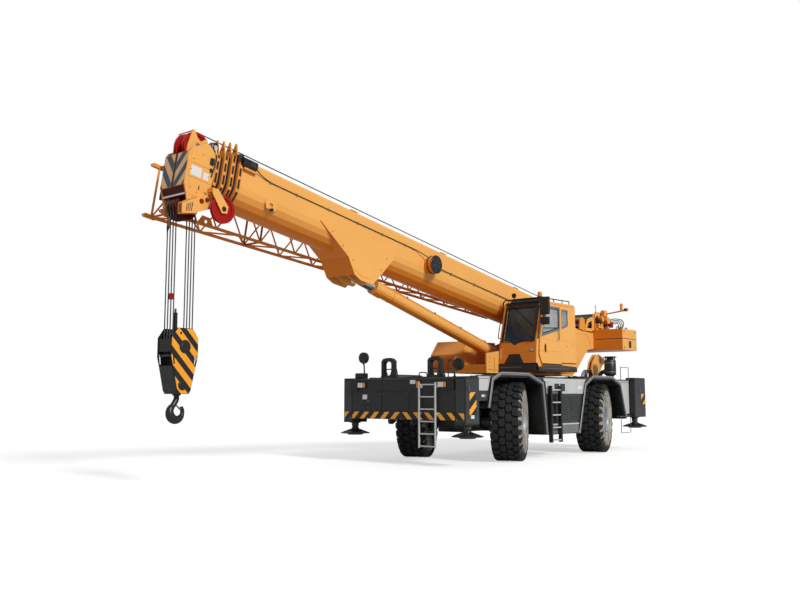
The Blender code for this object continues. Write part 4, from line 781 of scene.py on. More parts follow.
def boom_fittings():
    """Pads, rope guide, connector box with its cables, bracket, pivot caps, cable reel and pipe clips."""
    p = Piece("boom_fittings", "boom", "painted_orange", BOOM)
    for s in (1, -1):
        for u in (2.6, 5.9, 9.1):
            p.box((u - 0.11, u + 0.11), (s * 0.30, s * 0.36), (BOOM_TOP - 0.001, BOOM_TOP + 0.012), "orange",
                  0.003)
    p.rod((0.14, 0.155, 0.80), (0.14, 0.155, 0.801), 0.01, "steel", sides=12)
    for span in ((0.10, 0.118), (0.192, 0.21)):
        p.prism([(0.02, 0.70), (0.26, 0.70), (0.20, 0.93), (0.08, 0.93)], "y", span, "orange")
    p.lathe([(0.0, 0.03), (0.055, 0.03), (0.045, 0.0), (0.055, -0.03), (0.0, -0.03)], (0.14, 0.155, 0.855),
            "y", "steel", 24)
    # connector box with its cables, near the boom's front end
    p.box((11.92, 12.26), (0.392, 0.50), (0.55, 0.70), "black", 0.012)
    p.box((11.98, 12.10), (0.50, 0.506), (0.58, 0.67), "plastic", 0.003)
    p.box((11.90, 12.20), (0.388, 0.46), (0.50, 0.55), "orange", 0.006)
    for i in range(4):
        z = 0.60 + 0.03 * i
        p.tube([(12.25, 0.43 + 0.012 * i, z), (12.32, 0.46 + 0.01 * i, z + 0.03),
                (12.36, 0.44, z + 0.07 - 0.02 * i), (12.33, 0.37, z + 0.04), (12.27, 0.33, 0.74)], 0.011,
               "hose", 8, steps=5)
    p.tube([(11.93, 0.46, 0.60), (11.80, 0.43, 0.55), (11.55, 0.405, 0.50), (11.2, 0.402, 0.49),
            (9.0, 0.402, 0.49)], 0.010, "hose", 8, steps=4)
    # lifting bracket with holes on the boom's side near the head
    p.prism([(11.30, -0.02), (11.52, -0.02), (11.56, 0.08), (11.50, 0.16), (11.32, 0.16), (11.26, 0.08)], "y",
            (0.385, 0.405), "orange", holes=([(11.37, 0.03), (11.45, 0.03), (11.45, 0.10), (11.37, 0.10)],))
    p.rod((11.41, 0.40, -0.03), (11.41, 0.46, -0.03), 0.03, "black", sides=16)
    for u in (0.35, 0.55):
        p.nuts([(u, 0.391, 0.25 + 0.09 * i) for i in range(4)], (0, 1, 0), 0.012, 0.009)
    for s in (1, -1):
        p.lathe([(0.0, 0.028), (0.09, 0.028), (0.10, 0.02), (0.10, 0.0), (0.0, 0.0)], (0, 0.58, 0), "y",
                "steel", 32, extra=mirror(s))
        p.nuts([(0.065 * math.cos(a), s * 0.606, 0.065 * math.sin(a)) for a in (0.8, 2.4, 3.9, 5.5)],
               (0, s, 0), 0.010, 0.009)
    # cable reel, its guard and the cable that runs along the boom
    p.lathe([(0.0, 0.02), (0.205, 0.02), (0.215, 0.012), (0.215, 0.0), (0.16, -0.004), (0.16, -0.10),
             (0.215, -0.104), (0.215, -0.118), (0.0, -0.118)], (6.45, 0.595, 0.28), "y", "black", 40)
    for i in range(6):
        a = math.pi * i / 3
        p.box((-0.018, 0.018), (0.0, 0.006), (0.04, 0.19), "slate", 0.002,
              Matrix.Translation((6.45, 0.614, 0.28)) @ Matrix.Rotation(a, 4, "Y"))
    p.tube([(6.62, 0.50, 0.40), (6.9, 0.43, 0.47), (7.3, 0.405, 0.49), (9.1, 0.403, 0.49)], 0.010, "hose", 8,
           steps=4)
    p.tube([(2.4, 0.41, 0.30), (3.2, 0.41, 0.30), (5.8, 0.41, 0.30), (6.1, 0.46, 0.30)], 0.013, "brown_pipe",
           8, steps=3)
    for u in (2.6, 3.6, 4.6, 5.6):
        p.box((u - 0.02, u + 0.02), (0.388, 0.428), (0.275, 0.325), "steel", 0.003)
    for u in (7.4, 8.2, 9.0, 9.9, 10.8, 11.5):
        p.box((u - 0.02, u + 0.02), (0.388, 0.42), (0.47, 0.51), "steel", 0.003)
    p.done()


def bracket_trim():
    """Pin caps, gusset plates and bolts of the bracket that the luffing cylinder pushes on."""
    p = Piece("bracket_trim", "boom", "painted_orange", BOOM)
    reach = math.hypot(EYE_AT[0] - PIVOT[0], EYE_AT[1] - PIVOT[1])
    lean = math.atan2(EYE_AT[1] - PIVOT[1], EYE_AT[0] - PIVOT[0]) - ANGLE
    eu, ev = reach * math.cos(lean), reach * math.sin(lean)
    for s in (1, -1):
        p.lathe([(0.0, 0.03), (0.062, 0.03), (0.070, 0.022), (0.070, 0.0), (0.0, 0.0)], (eu, s * 0.22, ev),
                "y", "steel", 28)
        p.prism([(eu + 0.55, -0.50), (eu + 0.30, -0.60), (eu + 0.02, -0.60), (eu - 0.10, -0.45),
                 (eu + 0.30, -0.38)], "y", (s * 0.408, s * 0.416), "orange")
        bolts = ((1.3, 0.08), (0.95, -0.12), (0.60, -0.33), (-0.45, 0.0), (-0.3, -0.30))
        p.nuts([(eu + x, s * 0.41, v) for x, v in bolts], (0, s, 0), 0.014, 0.010)
    p.done()


def sheave(p, centre, radius, places, mat):
    """Grooved wheels side by side on one pin. Their rims stand out beyond the rope's radius."""
    rim = radius + 0.02
    for y in places:
        profile = [(0.055, 0.032), (0.075, 0.030), (0.085, 0.012), (radius - 0.045, 0.010),
                   (radius - 0.035, 0.030), (rim, 0.028), (rim, 0.022), (radius - 0.006, 0.008),
                   (radius - 0.010, 0.0)]
        profile += [(r, -h) for r, h in reversed(profile[:-1])]
        p.lathe(profile, (centre[0], centre[1] + y, centre[2]), "y", mat, 48)
        p.lathe([(0.0, 0.034), (0.058, 0.034), (0.058, -0.034), (0.0, -0.034)],
                (centre[0], centre[1] + y, centre[2]), "y", "steel", 24)


def head_trim():
    """Boom head: nose chevrons, side covers, bolts, rope guards, hose drum and the side arm's plates."""
    p = Piece("head_trim", "tip", "painted_orange", BOOM)
    nose = TIP + 0.490
    for s in (1, -1):
        p.box((nose - 0.001, nose + 0.0015), (s * 0.036, s * 0.343), (-0.185, 0.432), "chevron", 0.0005)
        # three side covers, each by its rear and front ends at its top and at its foot
        for high, low, top_ends, foot_ends in ((0.49, 0.25, (0.01, 0.44), (-0.06, 0.42)),
                                               (0.225, -0.015, (-0.05, 0.455), (-0.06, 0.435)),
                                               (-0.04, -0.33, (-0.05, 0.41), (0.02, 0.36))):
            cover = [(TIP + top_ends[0], high), (TIP + top_ends[1], high),
                     (TIP + foot_ends[1], low), (TIP + foot_ends[0], low)]
            p.prism(cover, "y", (s * 0.350, s * 0.356), "orange", 0.003)
        p.lathe([(0.0, 0.022), (0.085, 0.022), (0.095, 0.014), (0.095, 0.0), (0.0, 0.0)],
                (LOW_SHEAVE[0], 0, LOW_SHEAVE[1] + 0.09), "y", "deep_orange", 32,
                extra=mirror(s) @ Matrix.Translation((0, 0.35, 0)))
        p.lathe([(0.0, 0.014), (0.06, 0.014), (0.07, 0.008), (0.07, 0.0), (0.0, 0.0)],
                (TOP_SHEAVE[0], 0, TOP_SHEAVE[1]), "y", "steel", 28,
                extra=mirror(s) @ Matrix.Translation((0, 0.205, 0)))
        bolts = ((0.0, 0.42), (0.20, 0.46), (0.38, 0.32), (0.02, 0.10), (0.40, 0.12), (0.05, -0.20),
                 (0.22, -0.26), (0.36, -0.20))
        p.nuts([(TIP + x, s * 0.356, v) for x, v in bolts], (0, s, 0), 0.010, 0.008)
        p.box((TIP + 0.17, TIP + 0.19), (s * 0.356, s * 0.359), (-0.20, -0.12), "black", 0.002)
        p.box((TIP + 0.17, TIP + 0.40), (s * 0.356, s * 0.359), (0.02, 0.20), "white", 0.002)
        p.box((TIP + 0.01, TIP + 0.13), (s * 0.356, s * 0.359), (0.02, 0.16), "white", 0.002)
    p.box((TIP + 0.378, TIP + 0.4145), (-0.315, 0.315), (-0.3248, -0.310), "white", 0.003)
    p.box((TIP + 0.4151, TIP + 0.420), (-0.315, 0.315), (-0.345, -0.312), "white", 0.001)
    # painted shade: this plate under the nose is in the darker red
    p.prism([(TIP + 0.463, -0.192), (TIP + 0.467, -0.192), (TIP + 0.412, -0.309), (TIP + 0.408, -0.309)], "y",
            (-0.342, 0.342), "painted_shade_red")
    p.box((nose - 0.02, nose + 0.001), (-0.028, 0.028), (-0.18, 0.43), "black", 0.001)
    # these pieces are in the darker red, as painted shade
    for k in range(8):
        y = -0.28 + 0.08 * k
        p.prism(arc((TIP + 0.22, -0.40), 0.195, 15, 75, 8) + arc((TIP + 0.22, -0.40), 0.15, 75, 15, 4), "y",
                (y - 0.022, y + 0.022), "painted_shade_red", 0.004)
    # drum of hose and its clamp on the head's rear top corner
    for i in range(5):
        ring = [lift(point, "y", 0.022 * (i - 2)) for point in circle((0, 0), 0.095, 20)]
        p.tube(ring, 0.013, "steel" if i % 2 else "black", 8, closed=True,
               extra=Matrix.Translation((12.80, 0.26, 0.70)) @ Matrix.Rotation(0.5, 4, "Z"))
    p.rod((12.80, 0.20, 0.70), (12.80, 0.32, 0.70), 0.050, "silver", sides=24)
    p.box((12.765, 12.835), (0.22, 0.31), (0.55, 0.70), "deep_orange", 0.006)
    p.tube([(12.80, 0.30, 0.62), (12.78, 0.37, 0.50), (12.80, 0.375, 0.30), (12.83, 0.37, 0.12)], 0.012,
           "hose", 8, steps=5)
    p.box((12.82, 12.90), (0.355, 0.395), (0.34, 0.46), "black", 0.008)
    p.box((12.83, 12.88), (0.355, 0.380), (0.20, 0.27), "black", 0.006)
    for v in (0.18, 0.0, -0.12):
        p.rod((TIP + 0.475, -0.03, v), (TIP + 0.475, 0.03, v), 0.012, "iron", sides=12)
    # plate, cap, flanges, slots, bolts and red strips of the side arm
    u, v = AUX_SHEAVE
    p.prism([(u + 0.0, v + 0.07), (u + 0.12, v + 0.05), (u + 0.14, v + 0.31), (u + 0.01, v + 0.31)], "y",
            (0.4602, 0.475), "orange")
    p.box((u + 0.04, u + 0.10), (0.475, 0.478), (v + 0.10, v + 0.16), "black", 0.002)
    p.lathe([(0.0, 0.012), (0.036, 0.012), (0.045, 0.008), (0.048, 0.0), (0.0, 0.0)], (u, AUX_Y + 0.0502, v),
            "y", "black", 28)
    p.prism([(u + 0.738, v - 0.300), (u + 0.47, v - 0.212), (u + 0.47, v - 0.200), (u + 0.738, v - 0.288)],
            "y", (0.34, 0.475), "orange")
    p.prism([(u + 0.768, v - 0.110), (u + 0.505, v + 0.070), (u + 0.505, v + 0.082), (u + 0.766, v - 0.096)],
            "y", (0.34, 0.475), "orange")
    for i in range(4):
        x = u + 0.66 - 0.035 * i
        p.prism([(x, v - 0.235 + 0.012 * i), (x + 0.014, v - 0.238 + 0.012 * i),
                 (x + 0.014, v - 0.105 + 0.02 * i), (x, v - 0.095 + 0.02 * i)], "y", (0.4602, 0.463),
                "black", 0.001)
    for x, w in ((0.66, -0.02), (0.20, 0.25), (0.56, -0.10)):
        p.nuts([(u + x, 0.46, v + w)], (0, 1, 0), 0.014, 0.012)
    # thin strips in the darker red, as painted shade
    for y in (0.38, 0.42):
        p.prism([(u + 0.7420, v - 0.276), (u + 0.7440, v - 0.276), (u + 0.7670, v - 0.130),
                 (u + 0.7650, v - 0.130)], "y", (y - 0.012, y + 0.012), "painted_shade_red", 0.0)
    p.done()


def head_sheaves():
    """Sheaves on the head and on the side arm, and the lower sheaves with the falls down to the block."""
    p = Piece("top_sheaves", "tip", "painted_red", BOOM, ("upper_sheaves",))
    sheave(p, (TOP_SHEAVE[0], 0, TOP_SHEAVE[1]), 0.26, (-0.09, 0.15), "red")
    p.rod((TOP_SHEAVE[0], -0.184, TOP_SHEAVE[1]), (TOP_SHEAVE[0], 0.184, TOP_SHEAVE[1]), 0.05, "steel")
    p.done()
    p = Piece("side_sheave", "tip", "painted_red", BOOM, ("aux_sheave",))
    sheave(p, (AUX_SHEAVE[0], AUX_Y, AUX_SHEAVE[1]), 0.235, (0.0,), "red")
    p.done()
    p = Piece("falls", "falls", "steel", HANG, ("sheaves_and_falls",))
    places = [-0.12, -0.04, 0.04, 0.12]
    # the lower sheaves in the darker red, as painted shade
    sheave(p, (0, 0, 0), 0.20, places, "painted_shade_red")
    sheave(p, (0, 0, BLOCK_Z), 0.20, places, "iron")
    p.rod((0, -0.319, 0), (0, 0.319, 0), 0.05, "steel")
    p.rod((0, -0.184, BLOCK_Z), (0, 0.184, BLOCK_Z), 0.05, "steel")
    for y in places:
        for s in (1, -1):
            p.rod((s * 0.20, y, BLOCK_Z), (s * 0.20, y, 0), 0.011, "wire_rope", sides=8)
    p.lathe([(0.0, 0.05), (0.030, 0.05), (0.036, 0.04), (0.036, -0.05), (0.03, -0.06), (0.0, -0.06)],
            (0.20, 0.04, BLOCK_Z + 0.84), "z", "red", 20)
    p.done()


def block_trim():
    """Hook block: striped cheeks with slots, pins, spacers and a rope socket."""
    p = Piece("hook_block_trim", "falls", "painted_charcoal", HANG, ("hook_block",))
    z = BLOCK_Z
    low = z - 0.84
    right = [(0.155, z + 0.29), (0.275, z + 0.12), (0.275, z - 0.21), (0.235, z - 0.36), (0.14, low + 0.06),
             (0.10, low)]
    cheek = [(-x, h) for x, h in right] + right[::-1]
    slots = [[(s * 0.215, z - 0.17), (s * 0.245, z - 0.17), (s * 0.228, z - 0.33), (s * 0.200, z - 0.33)]
             for s in (1, -1)]
    for s in (1, -1):
        p.prism(cheek, "y", (s * 0.1853, s * 0.2035), "black", holes=slots)
        plate = [(x * 0.985, z - 0.27 + (h - z + 0.27) * 0.985) for x, h in cheek]
        p.prism(plate, "y", (s * 0.2035, s * 0.205), "hazard_block", holes=slots)
    for extra in (mirror(1), mirror(-1)):
        p.lathe([(0.0, 0.212), (0.070, 0.212), (0.075, 0.209), (0.114, 0.209), (0.118, 0.205), (0.118, 0.195),
                 (0.0, 0.195)], (0, 0, z - 0.03), "y", "black", 40, extra=extra)
        p.lathe([(0.0, 0.212), (0.060, 0.212), (0.065, 0.209), (0.088, 0.209), (0.088, 0.195), (0.0, 0.195)],
                (0.035, 0, low + 0.15), "y", "black", 36, extra=extra)
        p.lathe([(0.0, 0.207), (0.022, 0.207), (0.022, 0.195), (0.0, 0.195)], (0.09, 0, z + 0.20), "y",
                "black", 20, extra=extra)
    for s in (1, -1):
        p.box((s * 0.262, s * 0.250), (-0.186, 0.186), (z - 0.12, z + 0.10), "black", 0.004)
        p.box((s * 0.240, s * 0.225), (-0.186, 0.186), (z - 0.205, z - 0.165), "iron", 0.004)
        p.prism([(s * 0.222, z - 0.36), (s * 0.245, z - 0.36), (s * 0.14, low + 0.04),
                 (s * 0.118, low + 0.04)], "y", (-0.186, 0.186), "black")
        for y in (-0.08, 0.0, 0.08):
            p.rod((s * 0.225, y, z + 0.20), (s * 0.225, y, z + 0.22), 0.008, "iron", sides=8)
    p.box((-0.125, 0.125), (-0.186, 0.186), (low, low + 0.06), "black", 0.010)
    p.box((-0.125, 0.125), (-0.186, 0.186), (low + 0.12, low + 0.20), "iron", 0.010)
    for s in (1, -1):
        for y in (-0.11, 0.0, 0.11):
            p.rod((s * 0.09, y, low + 0.05), (s * 0.09, y, low + 0.13), 0.015, "iron", sides=10)
    # rope socket above the front of the block
    p.prism([(0.135, z + 0.10), (0.185, z + 0.10), (0.192, z + 0.55), (0.140, z + 0.55)], "y",
            (0.085, 0.165), "black", 0.006)
    p.rod((0.16, 0.125, z + 0.55), (0.16, 0.125, z + 0.62), 0.018, "iron", sides=12)
    p.done()


def hook():
    """The forged hook: a bar that swells towards the bottom of its bend, with a collar and a latch."""
    p = Piece("hook_forged", "hook", "painted_charcoal", HANG, ("hook",))
    low = BLOCK_Z - 0.84
    eye = low - 0.30
    path = [(0.0, 0, low + 0.12), (0.0, 0, low - 0.02), (0.005, 0, eye + 0.20)]
    radii = [0.044, 0.046, 0.050]
    bend = arc((0.0, eye - 0.01), 0.13, 125, 400, 16)
    for i, (x, h) in enumerate(bend):
        share = i / (len(bend) - 1)
        path.append((-x, 0, h))
        radii.append(0.049 + 0.036 * math.sin(math.pi * min(1, share * 1.25)) - 0.014 * share)
    smooth = smooth_path(path, 3)
    spread = []
    for i in range(len(smooth)):
        t = i / 3
        k = min(int(t), len(radii) - 2)
        spread.append(radii[k] + (radii[k + 1] - radii[k]) * (t - k))
    p.tube(smooth, spread, "black", 20)
    p.lathe([(0.0, 0.0), (0.074, 0.0), (0.074, -0.018), (0.060, -0.028), (0.0, -0.028)],
            (0, 0, low - 0.0004), "z", "black", 28)
    p.prism([(0.02, eye + 0.13), (0.045, eye + 0.135), (-0.085, eye + 0.02), (-0.10, eye + 0.04)], "y",
            (-0.018, 0.018), "steel")
    p.rod((0.03, -0.03, eye + 0.13), (0.03, 0.03, eye + 0.13), 0.014, "steel", sides=14)
    p.done()


JIB_Y = -1.0
# stations along the jib: u, half width, v of its lower and upper edges, and the bays up to the next one
JIB_STATIONS = ((1.70, 0.17, 0.17, 0.52, 9), (10.60, 0.29, -0.32, 0.55, 2), (12.85, 0.30, -0.45, 0.62, 0))


def jib():
    """The stowed jib as round tubes: four chords, zigzag braces, end frames and fork lugs."""
    p = Piece("jib_tubes", "boom", "painted_orange", BOOM, ("stowed_jib",))
    chord, brace = 0.032, 0.017
    pin = ((-0.015, 0), (0, 0.015), (0.015, 0), (0, -0.015))

    def chord_at(station, a, b):
        """Where the chord of side a and edge b passes a station."""
        u, half, low, high = station[:4]
        inset = chord + 0.003
        return Vector((u, JIB_Y + a * (half - inset), (low + inset) if b < 0 else (high - inset)))

    for a in (-1, 1):
        for b in (-1, 1):
            p.tube([chord_at(s, a, b) for s in JIB_STATIONS], chord, "deep_orange", 14)
            end = chord_at(JIB_STATIONS[-1], a, b)
            for k in (-1, 1):
                fork = [(end.x - 0.09, end.z - 0.035), (end.x + 0.16, end.z - 0.035), (end.x + 0.195, end.z),
                        (end.x + 0.16, end.z + 0.035), (end.x - 0.09, end.z + 0.035)]
                eye = [(end.x + 0.15 + x, end.z + z) for x, z in pin]
                p.prism(fork, "y", (end.y + k * 0.020, end.y + k * 0.034), "deep_orange", holes=(eye,))
    for near, far in zip(JIB_STATIONS, JIB_STATIONS[1:]):
        bays = near[4]
        for k in range(bays + 1):
            t = k / bays
            row = [near[i] + (far[i] - near[i]) * t for i in range(4)]
            nxt = [near[i] + (far[i] - near[i]) * min(1.0, (k + 1) / bays) for i in range(4)]
            mid = [(x + y) / 2 for x, y in zip(row, nxt)]
            faces = (((-1, -1), (-1, 1)), ((1, -1), (1, 1)), ((-1, 1), (1, 1)), ((-1, -1), (1, -1)))
            for (a0, b0), (a1, b1) in faces:
                if k < bays:
                    p.tube([chord_at(row, a0, b0), chord_at(mid, a1, b1)], brace, "deep_orange", 8)
                    p.tube([chord_at(mid, a1, b1), chord_at(nxt, a0, b0)], brace, "deep_orange", 8)
                if k in (0, bays):
                    p.tube([chord_at(row, a0, b0), chord_at(row, a1, b1)], brace * 1.3, "deep_orange", 8)
    p.box((12.60, 12.76), (-1.22, -1.06), (0.02, 0.13), "deep_orange", 0.01)
    p.box((12.74, 12.80), (-1.20, -1.14), (-0.06, 0.14), "black", 0.01)
    p.box((12.62, 12.68), (-1.21, -1.15), (-0.08, 0.03), "black", 0.01)
    p.rod((12.72, -0.86, -0.44), (12.72, -0.86, -0.62), 0.030, "deep_orange", sides=14)
    p.rod((12.72, -0.86, -0.62), (12.72, -0.86, -0.74), 0.030, "black", 0.006, 14)
    for u in (3.2, 10.2):
        p.box((u - 0.06, u + 0.06), (-0.6605, -0.84), (0.28, 0.46), "deep_orange", 0.008)
        p.rod((u, -0.67, 0.37), (u, -0.86, 0.37), 0.03, "steel", sides=16)
        p.nuts([(u + x, -0.70 - 0.10 * i, 0.46) for x in (-0.035, 0.035) for i in (0, 1)], (0, 0, 1), 0.010,
               0.008)
    for u, low, high in ((12.0, -0.40, 0.60), (12.45, -0.43, 0.61)):
        for b, v in ((-1, low), (1, high)):
            p.prism([(u - 0.20, v - b * 0.02), (u + 0.20, v - b * 0.02), (u + 0.10, v - b * 0.20),
                     (u - 0.10, v - b * 0.20)], "y", (-0.738, -0.730), "deep_orange",
                    holes=(circle((u, v - b * 0.10), 0.035, 10),))
    p.done()


def luff_trim():
    """Gland, bolts, pipes, clamps, weld rings and hoses of the luffing cylinder's barrel."""
    p = Piece("luff_pipes", "luff_barrel", "painted_orange", FOOT)
    p.lathe([(0.152, 6.20), (0.168, 6.21), (0.168, 6.35), (0.160, 6.36), (0.151, 6.36)], (0, 0, 0), "x",
            "orange", 40, closed=True)
    p.bolt_circle((6.455, 0, 0), (1, 0, 0), 0.142, 12, 0.011, 0.010)
    p.tube([(0.42, 0.0, 0.150), (0.50, 0.0, 0.178), (0.7, 0.0, 0.180), (6.0, 0.0, 0.180),
            (6.12, 0.0, 0.165)], 0.016, "orange", 10)
    p.tube([(0.42, 0.09, 0.118), (0.52, 0.105, 0.145), (1.5, 0.105, 0.145), (1.6, 0.105, 0.145)], 0.014,
           "orange", 10)
    for x in (0.9, 2.0, 3.1, 4.2, 5.3):
        p.box((x - 0.025, x + 0.025), (-0.028, 0.028), (0.145, 0.205), "steel", 0.004)
    for x in (0.34, 3.0, 5.9):
        p.lathe([(0.149, x - 0.012), (0.156, x - 0.006), (0.156, x + 0.006), (0.149, x + 0.012)], (0, 0, 0),
                "x", "deep_orange", 36)
    p.box((0.30, 0.44), (-0.07, 0.07), (0.135, 0.215), "steel", 0.01)
    for y in (0.05, -0.05):
        p.tube([(0.32, y, 0.19), (0.24, y * 1.2, 0.185), (0.20, y * 1.2, 0.13), (0.20, y * 1.2, 0.08)],
               0.012, "hose", 8, steps=5)
    p.done()


# Superstructure

FACE_LOW = SLEW @ Matrix.Translation((1.70, 0, 2.35)) @ Matrix.Rotation(-math.atan2(0.04, 0.55), 4, "Y")
FACE_HIGH = SLEW @ Matrix.Translation((1.66, 0, 2.90)) @ Matrix.Rotation(-math.atan2(0.28, 0.96), 4, "Y")


def cab_front_low():
    """Belt panels, lamps and seams of the cab's front below the windscreen."""
    p = Piece("cab_front_low", "superstructure", "painted_orange", FACE_LOW)
    belt = [(0.585, 0.595), (0.83, 0.565), (0.965, 0.465), (1.12, 0.535), (1.535, 0.595)]
    p.prism([(0.585, 0.255), (1.535, 0.255)] + belt[::-1], "x", (-0.020, -0.002), "orange", 0.003)
    p.prism([(y, z - 0.012) for y, z in belt] + [(y, z + 0.016) for y, z in belt[::-1]], "x", (-0.018, 0.001),
            "black", 0.001)
    p.prism([(0.66, -0.03), (1.26, -0.03), (1.12, 0.235), (0.82, 0.235)], "x", (-0.003, 0.006), "black",
            0.003)
    p.box((-0.002, 0.002), (0.53, 1.59), (0.274, 0.280), "deep_orange", 0.0005)
    p.prism([(0.5205, -0.19), (1.5995, -0.19), (1.5995, -0.03), (0.5205, -0.03)], "x", (-0.012, 0.007),
            "charcoal", 0.003)
    p.box((0.006, 0.010), (0.56, 1.20), (-0.105, -0.092), "grey", 0.001)
    p.box((-0.004, 0.006), (0.548, 0.585), (0.40, 0.58), "black", 0.003)
    p.box((0.004, 0.010), (0.553, 0.580), (0.49, 0.575), "red_lens", 0.002)
    p.box((0.004, 0.010), (0.553, 0.580), (0.41, 0.485), "amber", 0.002)
    p.box((-0.002, 0.005), (0.556, 0.576), (0.12, 0.38), "silver", 0.002)
    p.box((-0.002, 0.008), (1.42, 1.52), (0.30, 0.36), "black", 0.003)
    p.box((0.006, 0.010), (1.43, 1.51), (0.31, 0.35), "clear_lens", 0.002)
    p.done()


def cab_front_high():
    """Windscreen frame, wiper, hand rail and the bar over the glass."""
    p = Piece("cab_front_high", "superstructure", "painted_charcoal", FACE_HIGH)
    outer = [(0.565, -0.015), (1.555, -0.015), (1.555, 0.94), (1.50, 0.985), (0.62, 0.985), (0.565, 0.94)]
    inner = [(0.635, -0.005), (1.485, -0.005), (1.485, 0.87), (1.45, 0.915), (0.67, 0.915), (0.635, 0.87)]
    p.prism(outer, "x", (-0.004, 0.003), "black", holes=(inner,))
    p.tube([(0.03, 1.45, 0.02), (0.05, 1.40, 0.10), (0.045, 1.10, 0.33), (0.035, 0.92, 0.52)], 0.009,
           "black", 8, steps=4)
    p.tube([(0.022, 1.02, 0.22), (0.020, 0.80, 0.82)], 0.008, "black", 8)
    p.rod((0.0, 1.45, 0.0), (0.035, 1.45, 0.0), 0.028, "black", sides=20)
    p.tube([(-0.01, 0.51, 0.10), (0.05, 0.49, 0.13), (0.05, 0.50, 0.60), (-0.01, 0.52, 0.63)], 0.012,
           "black", 10, steps=3)
    p.box((-0.03, 0.035), (0.56, 1.56), (0.990, 1.045), "black", 0.010)
    p.done()


